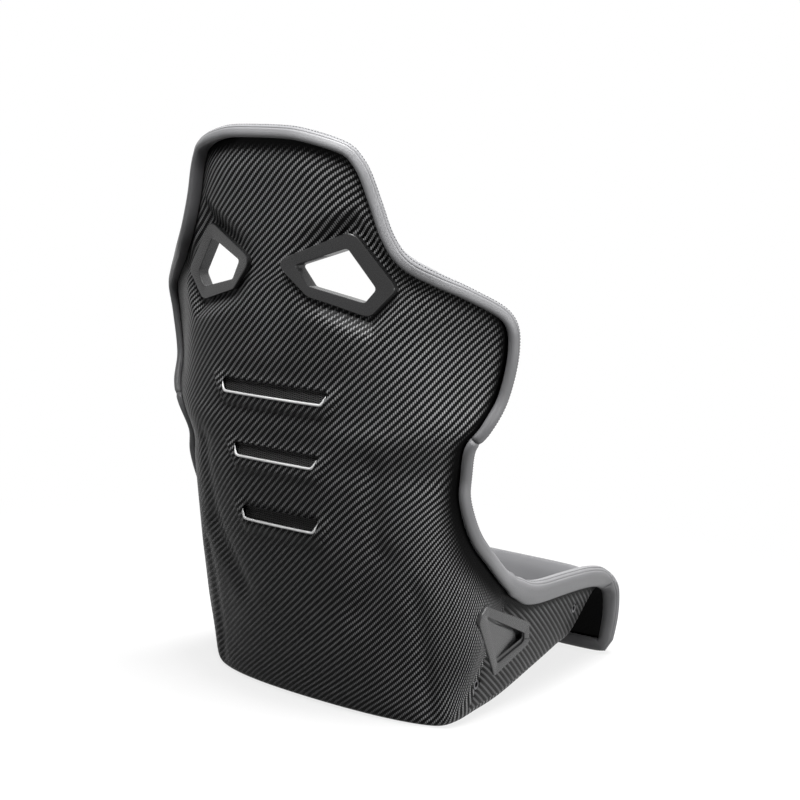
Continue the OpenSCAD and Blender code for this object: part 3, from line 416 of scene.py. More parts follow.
def stitches(path, pitch, length, radius):
    # row of short thread stitches along a path, each thinner at its two ends
    spots = resample(path, pitch)
    ahead = unit(np.roll(spots, -1, 0) - spots)
    ahead[-1] = ahead[-2]
    along = np.array([-0.5, -0.3, 0.3, 0.5]) * length
    widths = np.array([0.35, 1, 1, 0.35]) * radius
    sides = 6
    ring = ringWays(ahead, sides)
    points = (spots[:, None, None] + ahead[:, None, None] * along[None, :, None, None]
              + ring[:, None] * widths[None, :, None, None])
    one = np.array(loopFaces(len(along), sides, closed=False))
    first = len(along) * sides * np.arange(len(spots))
    faces = (one[None] + first[:, None, None]).reshape(-1, 4).tolist()
    return points.reshape(-1, 3), faces


# materials
def calc(tree, operation, *values):
    node = tree.nodes.new("ShaderNodeMath")
    node.operation = operation
    for socket, value in zip(node.inputs, values):
        if isinstance(value, (int, float)):
            socket.default_value = value
        else:
            tree.links.new(value, socket)
    return node.outputs[0]


def blendColor(tree, factor, a, b):
    node = tree.nodes.new("ShaderNodeMix")
    node.data_type = "RGBA"
    for socket, value in ((node.inputs["Factor"], factor), (node.inputs[6], a), (node.inputs[7], b)):
        if isinstance(value, (int, float)):
            socket.default_value = value
        elif isinstance(value, tuple):
            socket.default_value = value + (1,) if len(value) == 3 else value
        else:
            tree.links.new(value, socket)
    return node.outputs[2]


def newGroup(name, inputs, outputs):
    group = bpy.data.node_groups.new(name, "ShaderNodeTree")
    for label, kind, value in inputs:
        socket = group.interface.new_socket(name=label, in_out="INPUT", socket_type=kind)
        if value is not None:
            socket.default_value = value
    for label, kind in outputs:
        group.interface.new_socket(name=label, in_out="OUTPUT", socket_type=kind)
    return group, group.nodes.new("NodeGroupInput"), group.nodes.new("NodeGroupOutput")


# how square the tows' sections are, and how square the ends of their floats
twillLook = dict(towRound=1.2, runRound=3.0)


def buildTwill():
    # 2 x 2 twill: which tow is on top, and how high it stands
    group, given, result = newGroup(
        "twillWeave",
        [("Cloth", "NodeSocketVector", None), ("Tow Width", "NodeSocketFloat", 0.0029)],
        [("Warp", "NodeSocketFloat"), ("Height", "NodeSocketFloat"), ("Crown", "NodeSocketFloat")])
    split = group.nodes.new("ShaderNodeSeparateXYZ")
    group.links.new(given.outputs["Cloth"], split.inputs[0])
    u = calc(group, "DIVIDE", split.outputs[0], given.outputs["Tow Width"])
    v = calc(group, "DIVIDE", split.outputs[1], given.outputs["Tow Width"])
    fu, fv = calc(group, "FRACT", u), calc(group, "FRACT", v)
    step = calc(group, "SUBTRACT", calc(group, "FLOOR", u), calc(group, "FLOOR", v))
    place = calc(group, "FLOORED_MODULO", step, 4.0)
    warp = calc(group, "LESS_THAN", place, 1.5)
    # along each float, 0 to 1 over the two tows that it passes
    warpRun = calc(group, "MULTIPLY", calc(group, "SUBTRACT", calc(group, "ADD", fv, 1.0), place), 0.5)
    weftRun = calc(group, "MULTIPLY", calc(group, "SUBTRACT", calc(group, "ADD", fu, place), 2.0), 0.5)

    def pick(a, b):
        return calc(group, "ADD", calc(group, "MULTIPLY", a, warp),
                    calc(group, "MULTIPLY", b, calc(group, "SUBTRACT", 1.0, warp)))

    def arch(value, power):
        edge = calc(group, "ABSOLUTE", calc(group, "SUBTRACT", calc(group, "MULTIPLY", value, 2.0), 1.0))
        return calc(group, "SUBTRACT", 1.0, calc(group, "POWER", edge, power))

    crown = arch(pick(fu, fv), twillLook["towRound"])
    run = arch(pick(warpRun, weftRun), twillLook["runRound"])
    height = calc(group, "MULTIPLY", calc(group, "POWER", crown, 0.5), run)
    for label, value in (("Warp", warp), ("Height", height), ("Crown", calc(group, "MULTIPLY", crown, run))):
        group.links.new(value, result.inputs[label])
    return group


grainLook = dict(creaseSharpness=5.0, creaseShare=0.7, poreShare=0.3, poreDetail=3, toneScale=14)


def buildGrain():
    # leather grain: small cells with fine creases, and slow changes of tone
    group, given, result = newGroup(
        "hideGrain",
        [("Position", "NodeSocketVector", None), ("Cell Size", "NodeSocketFloat", 0.0012)],
        [("Height", "NodeSocketFloat"), ("Tone", "NodeSocketFloat")])
    scale = calc(group, "DIVIDE", 1.0, given.outputs["Cell Size"])
    cells = group.nodes.new("ShaderNodeTexVoronoi")
    cells.feature = "DISTANCE_TO_EDGE"
    pores = group.nodes.new("ShaderNodeTexNoise")
    pores.inputs["Detail"].default_value = grainLook["poreDetail"]
    tone = group.nodes.new("ShaderNodeTexNoise")
    tone.inputs["Scale"].default_value = grainLook["toneScale"]
    for node in (cells, pores, tone):
        group.links.new(given.outputs["Position"], node.inputs["Vector"])
    group.links.new(scale, cells.inputs["Scale"])
    group.links.new(scale, pores.inputs["Scale"])
    sharpened = calc(group, "MULTIPLY", cells.outputs["Distance"], grainLook["creaseSharpness"])
    creases = calc(group, "MULTIPLY", calc(group, "MINIMUM", sharpened, 1.0), grainLook["creaseShare"])
    fine = calc(group, "MULTIPLY", pores.outputs["Fac"], grainLook["poreShare"])
    height = calc(group, "ADD", creases, fine)
    group.links.new(height, result.inputs["Height"])
    group.links.new(tone.outputs["Fac"], result.inputs["Tone"])
    return group


twillWeave = buildTwill()
hideGrain = buildGrain()


def newMaterial(name):
    material = bpy.data.materials.new(name)
    material.use_nodes = True
    tree = material.node_tree
    return material, tree, tree.nodes["Principled BSDF"]


def useGroup(tree, group, **values):
    node = tree.nodes.new("ShaderNodeGroup")
    node.node_tree = group
    for label, value in values.items():
        socket = node.inputs[label.replace("_", " ")]
        if isinstance(value, (int, float)):
            socket.default_value = value
        else:
            tree.links.new(value, socket)
    return node


def uvNode(tree, name):
    node = tree.nodes.new("ShaderNodeUVMap")
    node.uv_map = name
    return node.outputs[0]


def positionNode(tree):
    return tree.nodes.new("ShaderNodeTexCoord").outputs["Object"]


def addBump(tree, shader, height, distance, strength):
    bump = tree.nodes.new("ShaderNodeBump")
    bump.inputs["Distance"].default_value = distance
    bump.inputs["Strength"].default_value = strength
    tree.links.new(height, bump.inputs["Height"])
    tree.links.new(bump.outputs[0], shader.inputs["Normal"])


# colours of the gaps, the weft and the warp, whose pale colour is a painted sheen of the tows; sway: slow
# changes in that painted sheen over the cloth
carbonLook = dict(
    gap=(0.001, 0.001, 0.0011), weft=(0.006, 0.006, 0.0062), warp=(0.42, 0.42, 0.425), towWidth=0.0025,
    roughness=0.38, specular=0.02, coat=0.05, coatRoughness=0.05, relief=0.0005, bump=0.7,
    sideTurn=12, sideSheenDim=0.55, resinShade=(0.25, 1.0), sheenPatchScale=9, sheenPatchLow=0.6, sheenPatchSwing=0.8)


def carbonMaterial(name, look):
    material, tree, shader = newMaterial(name)
    cloth = uvNode(tree, "cloth")
    zone = tree.nodes.new("ShaderNodeSeparateXYZ")
    tree.links.new(uvNode(tree, "zone"), zone.inputs[0])
    # the side panels are a ply of their own, laid with its tows along the seat
    place = tree.nodes.new("ShaderNodeSeparateXYZ")
    tree.links.new(positionNode(tree), place.inputs[0])
    turn = math.radians(look["sideTurn"])
    ahead, up = place.outputs[1], place.outputs[2]
    sideCloth = tree.nodes.new("ShaderNodeCombineXYZ")
    for socket, a, b in ((0, math.cos(turn), -math.sin(turn)), (1, math.sin(turn), math.cos(turn))):
        both = calc(tree, "ADD", calc(tree, "MULTIPLY", ahead, a), calc(tree, "MULTIPLY", up, b))
        tree.links.new(both, sideCloth.inputs[socket])
    onSide = calc(tree, "GREATER_THAN", zone.outputs[0], 0.0)
    laid = tree.nodes.new("ShaderNodeMix")
    laid.data_type = "VECTOR"
    tree.links.new(onSide, laid.inputs["Factor"])
    tree.links.new(cloth, laid.inputs[4])
    tree.links.new(sideCloth.outputs[0], laid.inputs[5])
    weave = useGroup(tree, twillWeave, Cloth=laid.outputs[1], Tow_Width=look["towWidth"])
    sheenPatches = tree.nodes.new("ShaderNodeTexNoise")
    sheenPatches.inputs["Scale"].default_value = look["sheenPatchScale"]
    tree.links.new(positionNode(tree), sheenPatches.inputs["Vector"])
    # near the rim the resin is thick and the weave sinks into it; the black band is also painted shade where
    # the shell curves in beside the roll and under the front
    low, high = look["resinShade"]
    ramp = tree.nodes.new("ShaderNodeMapRange")
    ramp.interpolation_type = "SMOOTHSTEP"
    ramp.inputs["From Min"].default_value = low
    ramp.inputs["From Max"].default_value = high
    tree.links.new(zone.outputs[1], ramp.inputs["Value"])
    crown = calc(tree, "MULTIPLY", weave.outputs["Crown"], ramp.outputs[0])
    # painted sheen: the warp is pale on each tow's crown, in slow patches over the cloth
    swing = calc(tree, "MULTIPLY", sheenPatches.outputs["Fac"], look["sheenPatchSwing"])
    lit = calc(tree, "ADD", look["sheenPatchLow"], swing)
    lit = calc(tree, "MULTIPLY", calc(tree, "MULTIPLY", crown, weave.outputs["Warp"]), lit)
    # the side ply gets less of the painted sheen
    sideLight = calc(tree, "SUBTRACT", 1.0, calc(tree, "MULTIPLY", onSide, look["sideSheenDim"]))
    lit = calc(tree, "MULTIPLY", lit, sideLight)
    under = blendColor(tree, crown, look["gap"], look["weft"])
    tree.links.new(blendColor(tree, lit, under, look["warp"]), shader.inputs["Base Color"])
    shader.inputs["Roughness"].default_value = look["roughness"]
    shader.inputs["Specular IOR Level"].default_value = look["specular"]
    shader.inputs["Coat Weight"].default_value = look["coat"]
    shader.inputs["Coat Roughness"].default_value = look["coatRoughness"]
    addBump(tree, shader, weave.outputs["Height"], look["relief"], look["bump"])
    return material


# shares of the colour between which the tone wanders, and how far the grain moves the roughness
leatherLook = dict(dark=0.82, light=1.12, roughSwing=0.12, sheenRoughness=0.4, coatRoughness=0.3,
                   relief=0.00018, bump=0.6, specular=0.2)
plasticLook = dict(dark=0.85, light=1.15, roughSwing=0.1, speck=0.0007, speckDetail=2,
                   slowScale=25, relief=0.00006, bump=0.5)


def toneRange(color, look):
    return tuple(look["dark"] * c for c in color), tuple(look["light"] * c for c in color)


def roughnessOver(tree, roughness, swing, value):
    # roughness that swings about its own value as a 0 to 1 pattern rises and falls
    return calc(tree, "ADD", roughness - swing / 2, calc(tree, "MULTIPLY", value, swing))


def leatherMaterial(name, color, roughness, cell=0.0012, sheen=0.0, coat=0.0):
    look = leatherLook
    material, tree, shader = newMaterial(name)
    grain = useGroup(tree, hideGrain, Position=positionNode(tree), Cell_Size=cell)
    dark, light = toneRange(color, look)
    tree.links.new(blendColor(tree, grain.outputs["Tone"], dark, light), shader.inputs["Base Color"])
    rough = roughnessOver(tree, roughness, look["roughSwing"], grain.outputs["Height"])
    tree.links.new(rough, shader.inputs["Roughness"])
    shader.inputs["Specular IOR Level"].default_value = look["specular"]
    shader.inputs["Sheen Weight"].default_value = sheen
    shader.inputs["Sheen Roughness"].default_value = look["sheenRoughness"]
    shader.inputs["Coat Weight"].default_value = coat
    shader.inputs["Coat Roughness"].default_value = look["coatRoughness"]
    addBump(tree, shader, grain.outputs["Height"], look["relief"], look["bump"])
    return material


def plasticMaterial(name, color, roughness, metallic=0.0, specular=0.4):
    look = plasticLook
    material, tree, shader = newMaterial(name)
    noise = tree.nodes.new("ShaderNodeTexNoise")
    noise.inputs["Scale"].default_value = 1 / look["speck"]
    noise.inputs["Detail"].default_value = look["speckDetail"]
    slow = tree.nodes.new("ShaderNodeTexNoise")
    slow.inputs["Scale"].default_value = look["slowScale"]
    for node in (noise, slow):
        tree.links.new(positionNode(tree), node.inputs["Vector"])
    dark, light = toneRange(color, look)
    tree.links.new(blendColor(tree, slow.outputs["Fac"], dark, light), shader.inputs["Base Color"])
    rough = roughnessOver(tree, roughness, look["roughSwing"], noise.outputs["Fac"])
    tree.links.new(rough, shader.inputs["Roughness"])
    shader.inputs["Metallic"].default_value = metallic
    shader.inputs["Specular IOR Level"].default_value = specular
    addBump(tree, shader, noise.outputs["Fac"], look["relief"], look["bump"])
    return material


# the gaps' near-black colour is painted shade of the seat's inside seen through the screen
screenLook = dict(pitch=0.0026, slope=0.36, gap=(0.004, 0.004, 0.004), roughness=0.6, specular=0.05,
                  relief=0.0004, bump=0.7)


def screenMaterial(name, color, look):
    # fine woven screen: two crossing rows of threads, with painted shade in the gaps between them
    material, tree, shader = newMaterial(name)
    place = tree.nodes.new("ShaderNodeSeparateXYZ")
    tree.links.new(positionNode(tree), place.inputs[0])
    threads = []
    for slope in (look["slope"], -look["slope"]):
        line = calc(tree, "ADD", place.outputs[2], calc(tree, "MULTIPLY", place.outputs[0], slope))
        wave = calc(tree, "SINE", calc(tree, "MULTIPLY", line, 2 * math.pi / look["pitch"]))
        threads.append(calc(tree, "MAXIMUM", wave, 0.0))
    height = calc(tree, "MAXIMUM", threads[0], threads[1])
    tree.links.new(blendColor(tree, height, look["gap"], color), shader.inputs["Base Color"])
    shader.inputs["Roughness"].default_value = look["roughness"]
    shader.inputs["Specular IOR Level"].default_value = look["specular"]
    addBump(tree, shader, height, look["relief"], look["bump"])
    return material


carbon = carbonMaterial("carbonTwill", carbonLook)
# the vent lips' pale colour is a painted highlight
lipHighlight = plasticMaterial("lipPaintedHighlight", (0.7, 0.7, 0.7), 0.12, specular=1.0)
rollLeather = leatherMaterial("rollLeather", (0.17, 0.17, 0.175), 0.46, coat=0.2)
padLeather = leatherMaterial("padLeather", (0.125, 0.125, 0.13), 0.5, coat=0.1)
threadGrey = plasticMaterial("threadGrey", (0.06, 0.06, 0.065), 0.6, specular=0.2)
guidePlastic = plasticMaterial("guidePlastic", (0.02, 0.02, 0.0205), 0.27, specular=0.4)
tapeFabric = leatherMaterial("tapeFabric", (0.02, 0.02, 0.02), 0.9, cell=0.0008, sheen=0.3)
insertSteel = plasticMaterial("insertSteel", (0.1, 0.1, 0.105), 0.3, metallic=0.6, specular=0.3)
screenFabric = screenMaterial("screenFabric", (0.17, 0.17, 0.17), screenLook)
print("materials made")

# carbon shell
fit = 0.3  # clearance between pieces
# skirts and lips: how far the roll reaches over the inner and the outer face, at each station
roll = dict(tip=13, outside=10, inside=10, skirts=(14, 17, 32, 32, 20), lips=(3, 5, 21, 21, 10),
            stations=(7, 13, 20, 23, 29), seamGap=0.6, step=5, seamStation=10.6, cornerStation=25.6,
            fromHead=0.12, fromHem=0.25, acrossTo=0.955, acrossPoints=48, slotGap=0.5, smoothing=3,
            turnStretch=11, drawIn=0.10, drawReach=2.2, stitch=(4.2, 2.8, 0.6), stitchEnds=3)
# join: the side panel's own ply lies forward of these places at these heights, past a share of the half
# section and past a station; resin: how far from the rim the weave is sunk into resin and painted shade, at
# each station
shellDetail = dict(across=70, perStation=8, spineShare=0.4,
                   joinHeights=(-20, 10, 24, 66, 93, 110, 150, 166, 190),
                   joinPlaces=(82, 84, 89, 86.5, 81, 78, 64, 52, 30),
                   joinShare=0.62, joinWidth=300, joinStation=14, joinOff=-50,
                   resinShadeStations=(0, 4, 7, 10, 12, 14.5, 17, 20, 24.6, 25.6, 29),
                   resinShadeWidths=(18, 12, 14, 18, 28, 50, 44, 18, 22, 260, 260),
                   backCut=(200, 400), sideCut=(150, 290), cutSteps=7)
# lips: height and half width of each opening's lower edge; chin: the raised form below it
vents = dict(
    lips=((446, 79), (359, 62), (271, 57)), rise=3, height=17, lean=9, corner=5,
    proud=7, chin=21, step=6, beside=7, flare=0.55, slant=0.9, droop=0.3, fallFrom=2, fallPast=12,
    tuck=3, reachAbove=20, tuckBeside=22, backFrom=180)
ventLips = [(z + vents["rise"], half) for z, half in vents["lips"]]


def louvreLift(points):
    # a raised chin round the lower edge and the ends of each opening; the upper edge is tucked in
    x, y, z = np.abs(points[..., 0]), points[..., 1], points[..., 2]
    lift = np.zeros_like(x)
    chin, height = vents["chin"], vents["height"]
    for lip, half in ventLips:
        reach = half + vents["beside"] + (z - lip + chin) * vents["flare"]
        inside = np.minimum(z - lip + chin, (reach - x) * vents["slant"])
        rise = smoothStep(inside, 0, vents["step"])
        fall = 1 - smoothStep(z, lip + vents["fallFrom"], lip + height + vents["fallPast"])
        droop = 1 - vents["droop"] * np.clip((lip - z) / chin, 0, 1)
        above = np.exp(-(np.maximum(z - lip - height, 0) / vents["reachAbove"])**2)
        within = 1 - smoothStep(x, half, half + vents["tuckBeside"])
        tuck = smoothStep(z, lip, lip + height) * above * within
        lift += vents["proud"] * rise * fall * droop - vents["tuck"] * tuck
    return lift * (y > vents["backFrom"])


def skinAt(s, t):
    # outer face with the louvres pressed in
    points = faceAt(s, t)
    return points + normalAt(s, t) * louvreLift(points)[..., None]


def ring2d(corners, radius, parts=1, steps=3):
    # polygon with round corners, of one radius or one for each, and long edges cut into parts;
    # a corner takes at most this share of a side
    most = 0.45
    corners = [np.array(c, float) for c in corners]
    n, points = len(corners), []
    radii = np.broadcast_to(radius, (n,))
    for i in range(n):
        p, q, e = corners[i - 1], corners[i], corners[(i + 1) % n]
        u, v = unit(p - q), unit(e - q)
        half = math.acos(np.clip(u @ v, -1, 1)) / 2
        cut = min(radii[i] / math.tan(half), np.linalg.norm(p - q) * most, np.linalg.norm(e - q) * most)
        a, b = q + u * cut, q + v * cut
        for k in range(steps):
            f = k / (steps - 1)
            points.append((1 - f)**2 * a + 2 * f * (1 - f) * q + f * f * b)
        rest = e - v * cut - b
        points += [b + rest * k / parts for k in range(1, parts)]
    return np.array(points)


def inset2d(corners, distances):
    # polygon with each side moved inwards by its own distance
    corners = [np.array(c, float) for c in corners]
    n, points = len(corners), []
    for i in range(n):
        p, q, r = corners[i - 1], corners[i], corners[(i + 1) % n]
        u, v = unit(q - p), unit(r - q)
        a = q + distances[i - 1] * np.array([-u[1], u[0]])
        b = q + distances[i] * np.array([-v[1], v[0]])
        k = ((b[0] - a[0]) * v[1] - (b[1] - a[1]) * v[0]) / (u[0] * v[1] - u[1] * v[0])
        points.append(a + k * u)
    return points


def prism(outline, axis, low, high):
    # straight cutter along X or Y
    n = len(outline)
    ends = []
    for level in (low, high):
        if axis == 1:
            ends.append([(p[0], level, p[1]) for p in outline])
        else:
            ends.append([(level, p[0], p[1]) for p in outline])
    faces = [list(range(n)), [n + k for k in range(n)][::-1]]
    faces += [[k, n + k, n + (k + 1) % n, (k + 1) % n] for k in range(n)]
    return np.array(ends[0] + ends[1]), faces if axis == 0 else [f[::-1] for f in faces]


def roundPrism(centre, radius, low, high, sides=32):
    # round cutter along X
    turn = 2 * math.pi * np.arange(sides) / sides
    outline = [(centre[0] + radius * math.cos(a), centre[1] + radius * math.sin(a)) for a in turn]
    return prism(outline, 0, low, high)


mounts = dict(rear=(88, 59), pitch=286, rise=48, bore=7.3)
mountSpots = [mounts["rear"], (mounts["rear"][0] - mounts["pitch"], mounts["rear"][1] + mounts["rise"])]
crotch = dict(y=-130, length=80, width=24, collar=2.5, cutReach=20, arcSteps=12)


def crotchCutter():
    # rounded slot, square to the pan
    t = locate([(0.5, crotch["y"])], (0, 1), 0.01, 22)[1]
    spot, normal = faceAt([0.0], t)[0], normalAt([0.0], t)[0]
    ahead = unit(np.cross((1, 0, 0), normal))
    half = crotch["width"] / 2 + crotch["collar"] + fit
    reach = (crotch["length"] - crotch["width"]) / 2
    steps, level = crotch["arcSteps"], crotch["cutReach"]
    turn = math.pi * np.arange(steps + 1) / steps - math.pi / 2
    outline = [(reach + half * math.cos(a), half * math.sin(a)) for a in turn]
    outline += [(-reach - half * math.cos(a), -half * math.sin(a)) for a in turn]
    n = len(outline)
    points = [spot + np.array([a, 0, 0]) + ahead * b + normal * height
              for height in (-level, level) for a, b in outline]
    faces = [list(range(n))[::-1], [n + k for k in range(n)]]
    faces += [[k, (k + 1) % n, n + (k + 1) % n, n + k] for k in range(n)]
    return np.array(points), faces


def shellGrid():
    half = np.linspace(0, 1, shellDetail["across"] + 1)
    s = np.concatenate([-half[:0:-1], half])
    t = np.linspace(0, lastStation, lastStation * shellDetail["perStation"] + 1)
    sGrid, tGrid = np.meshgrid(s, t)
    outer = skinAt(sGrid, tGrid)
    down = np.gradient(outer, axis=0)
    right = np.gradient(outer, axis=1)
    normal = unit(np.cross(right, down))
    inner = outer - normal * wallThickness
    return sGrid, tGrid, outer, inner


def clothMap(sGrid, tGrid):
    # cloth coordinates: along the surface from the centre line, and along the spine
    plain = plainFace(sGrid, tGrid)
    steps = np.linalg.norm(np.diff(plain, axis=1), axis=2)
    middle = sGrid.shape[1] // 2
    run = np.concatenate([np.zeros((len(sGrid), 1)), np.cumsum(steps, axis=1)], 1)
    u = -(run - run[:, middle:middle + 1])
    guide = plain[:, middle + int(middle * shellDetail["spineShare"])]
    v = -np.concatenate([[0], np.cumsum(np.linalg.norm(np.diff(guide, axis=0), axis=1))])
    return np.stack([u, np.repeat(v[:, None], sGrid.shape[1], 1)], 2) * mm


def zoneMap(sGrid, tGrid, outer):
    # distance past the joint of the side panel's own ply, and from the rim as a share of the width of the
    # resin and painted shade
    line = np.interp(outer[..., 2], shellDetail["joinHeights"], shellDetail["joinPlaces"])
    beside = (np.abs(sGrid) - shellDetail["joinShare"]) * shellDetail["joinWidth"]
    past = np.minimum(line - outer[..., 1], beside)
    past = np.where(tGrid > shellDetail["joinStation"], past, shellDetail["joinOff"])
    rim = faceAt(np.sign(sGrid + 1e-9), tGrid)
    edge = np.linalg.norm(outer - rim, axis=2)
    edge = np.minimum(edge, np.linalg.norm(outer - outer[:1], axis=2))
    edge = np.minimum(edge, np.linalg.norm(outer - outer[-1:], axis=2))
    width = np.interp(tGrid, shellDetail["resinShadeStations"], shellDetail["resinShadeWidths"])
    lip = np.interp(tGrid, roll["stations"], roll["lips"])
    return np.stack([past * mm, (edge - lip) / width], 2)


def holeOutline(guide):
    # the hole in the shell: a collar and a clearance outside the guide's own hole
    space = [-(guide["collar"] + fit)] * len(guide["hole"])
    return ring2d(inset2d(guide["hole"], space), guide["shellCorner"], 1, shellDetail["cutSteps"])


def ventOutline(lip, half, parts):
    wide, top = half + vents["lean"], lip + vents["height"]
    corners = [(-half, lip), (half, lip), (wide, top), (-wide, top)]
    return ring2d(corners, vents["corner"], parts, shellDetail["cutSteps"])


def buildShell():
    sGrid, tGrid, outer, inner = shellGrid()
    cloth, zone = clothMap(sGrid, tGrid), zoneMap(sGrid, tGrid, outer)
    cloth = np.concatenate([cloth.reshape(-1, 2)] * 2)
    zone = np.concatenate([zone.reshape(-1, 2)] * 2)
    shell = makePiece("shellSkin", *closedSheet(outer, inner), carbon, "carbon_laminate",
                      uvs={"cloth": cloth, "zone": zone})
    backCut, sideCut = shellDetail["backCut"], shellDetail["sideCut"]
    cutters = []
    sides = [prism(holeOutline(shoulderGuide), 1, *backCut), prism(holeOutline(lapGuide), 0, *sideCut)]
    sides += [roundPrism(spot, mounts["bore"], *sideCut) for spot in mountSpots]
    for part in sides:
        cutters += [part, mirrored(*part)]
    for lip, half in ventLips:
        cutters.append(prism(ventOutline(lip, half, 1), 1, *backCut))
    cutters.append(crotchCutter())
    points, faces = joinParts([(p, outward(p, f)) for p, f in cutters])
    mesh = bpy.data.meshes.new("cutters")
    mesh.from_pydata((points * mm).tolist(), [], faces)
    tool = bpy.data.objects.new("cutters", mesh)
    bpy.context.scene.collection.objects.link(tool)
    cut = shell.modifiers.new("openings", "BOOLEAN")
    cut.operation = "DIFFERENCE"
    cut.solver = "MANIFOLD"
    cut.object = tool
    bpy.context.view_layer.update()
    done = bpy.data.meshes.new_from_object(shell.evaluated_get(bpy.context.evaluated_depsgraph_get()))
    shell.modifiers.clear()
    shell.data = done
    bpy.data.objects.remove(tool)
    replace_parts(shell, "carbon_shell")
    return shell


lipBead = dict(radius=1.9, edgeParts=12, upTheEnds=0.75, sunk=0.3, spacing=2.5, taperFrom=2, taperOver=0.6,
               taper=0.75)


def buildVentLips():
    # polished bead along the lower edge and up the ends of each opening, where it thins away; its pale colour
    # is a painted highlight on the lip's edge, which fades as the bead thins
    parts = []
    for lip, half in ventLips:
        outline = ventOutline(lip, half, lipBead["edgeParts"])
        run = outline[outline[:, 1] < lip + vents["height"] * lipBead["upTheEnds"]]
        start = np.argmax(np.linalg.norm(np.roll(run, 1, 0) - run, axis=1))
        run = np.roll(run, -start, 0)
        side = np.sign(run[:, 0])
        s, t = locate(np.stack([np.abs(run[:, 0]), run[:, 1]], 1), (0, 2), 0.2, 11)
        toSide = np.stack([side, np.ones_like(side), np.ones_like(side)], 1)
        path = skinAt(s, t) * toSide - normalAt(s, t) * toSide * lipBead["sunk"]
        path = resample(path, lipBead["spacing"])
        above = path[:, 2] - path[:, 2].min() - lipBead["taperFrom"]
        height = np.clip(above / (vents["height"] * lipBead["taperOver"]), 0, 1)
        parts.append(tube(path, lipBead["radius"] * (1 - lipBead["taper"] * height)[:, None, None]))
    points, faces = joinParts(parts)
    makePiece("ventLips", points, faces, lipHighlight, "carbon_laminate")


shell = buildShell()
buildVentLips()
print("shell made,", len(shell.data.polygons), "faces")

# vent screens
screens = dict(margin=8, above=7, gap=0.9, thick=1.2, rows=6, columns=48)
for label, (lip, half) in zip(("upper", "middle", "lower"), ventLips):
    zMid = lip + vents["height"] / 2
    tMid = locate([(0.5, zMid)], (0, 2), 0.02, 11)[1][0]
    perStation = np.linalg.norm(faceAt([0.0], [tMid + 0.5])[0] - faceAt([0.0], [tMid - 0.5])[0])
    span = (vents["height"] / 2 + screens["above"]) / perStation
    tRows = np.linspace(tMid - span, tMid + span, screens["rows"] + 1)
    edge = stationAtX(tRows, half + vents["lean"] + screens["margin"])
    sGrid = edge[:, None] * np.linspace(-1, 1, screens["columns"] + 1)[None]
    tGrid = np.repeat(tRows[:, None], sGrid.shape[1], 1)
    base, normal = faceAt(sGrid, tGrid), normalAt(sGrid, tGrid)
    top = base - normal * (wallThickness + screens["gap"])
    under = top - normal * screens["thick"]
    screen = makePiece("ventScreen." + label, *closedSheet(top, under), screenFabric, "vent_mesh")
    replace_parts(screen, "vent_mesh_" + label)
print("vent screens made")

# leather edge roll
def skirtAt(t):
    return np.interp(t, roll["stations"], roll["skirts"])


def smoothCurve(points, steps):
    # smooth open curve through unevenly spaced points
    p = np.asarray(points, float)
    gap = np.linalg.norm(np.diff(p, axis=0), axis=1)[:, None]
    rate = np.diff(p, axis=0) / gap
    middle = (rate[1:] * gap[:-1] + rate[:-1] * gap[1:]) / (gap[1:] + gap[:-1])
    tangent = np.concatenate([rate[:1], middle, rate[-1:]])
    rows = []
    for u in np.arange(steps) / steps:
        rows.append((1 + 2 * u) * (1 - u)**2 * p[:-1] + u * (1 - u)**2 * gap * tangent[:-1]
                    + u * u * (3 - 2 * u) * p[1:] + u * u * (u - 1) * gap * tangent[1:])
    return np.concatenate([np.stack(rows, 1).reshape(-1, p.shape[1]), p[-1:]])


def rollSection(t):
    # section round the shell's edge, as pairs past the edge and outwards; the last two close the slot
    tip, o, i, w = roll["tip"], roll["outside"], roll["inside"], wallThickness
    skirt, lip = skirtAt(t), np.interp(t, roll["stations"], roll["lips"])
    crown = 0.175 * tip - 0.65 * lip
    sink = sinkAt(t)
    outer = [(2 - lip, fit - sink), (0.5 - lip, o * 0.2 - sink * 0.5), (-lip, o * 0.48),
             (0.25 * crown - 0.75 * lip, o * 0.83), (crown, o), ((crown + 0.5 * tip) / 2, o * 0.98),
             (0.5 * tip, o * 0.85), (0.68 * tip, o * 0.7)]
    seam = [(0.72 * tip, o * 0.57), (0.81 * tip, o * 0.54)]
    inner = [(0.94 * tip, o * 0.2), (tip, -w / 2), (0.96 * tip, -w - i * 0.18), (0.84 * tip, -w - i * 0.42),
             (0.62 * tip, -w - i * 0.7), (0.2 * tip, -w - i * 0.95),
             (-skirt * 0.25, -w - i * 1.02), (-skirt * 0.62, -w - max(i * 0.97, sink + 1.8)),
             (3.5 - skirt, -w - max(i * 0.76, sink + 1.2)), (0.6 - skirt, -w - max(i * 0.38, sink + 0.6)),
             (-skirt, -w - sink - fit)]
    smooth = smoothCurve(outer + seam + inner, roll["smoothing"])
    slot = [(roll["slotGap"], -w - fit - sink), (roll["slotGap"], fit - sink)]
    return np.concatenate([smooth, slot])


def rimPath(side, t0, t1):
    t = np.arange(t0, t1, 0.02)
    points = plainFace(np.full(len(t), side), t)
    length = np.concatenate([[0], np.cumsum(np.linalg.norm(np.diff(points, axis=0), axis=1))])
    count = int(length[-1] / roll["step"])
    tt = np.interp(np.linspace(0, length[-1], count), length, t)
    return np.stack([np.full(len(tt), side), tt], 1)


def acrossPath(t):
    s = np.linspace(roll["acrossTo"], -roll["acrossTo"], roll["acrossPoints"])
    return np.stack([s, np.full(len(s), t)], 1)


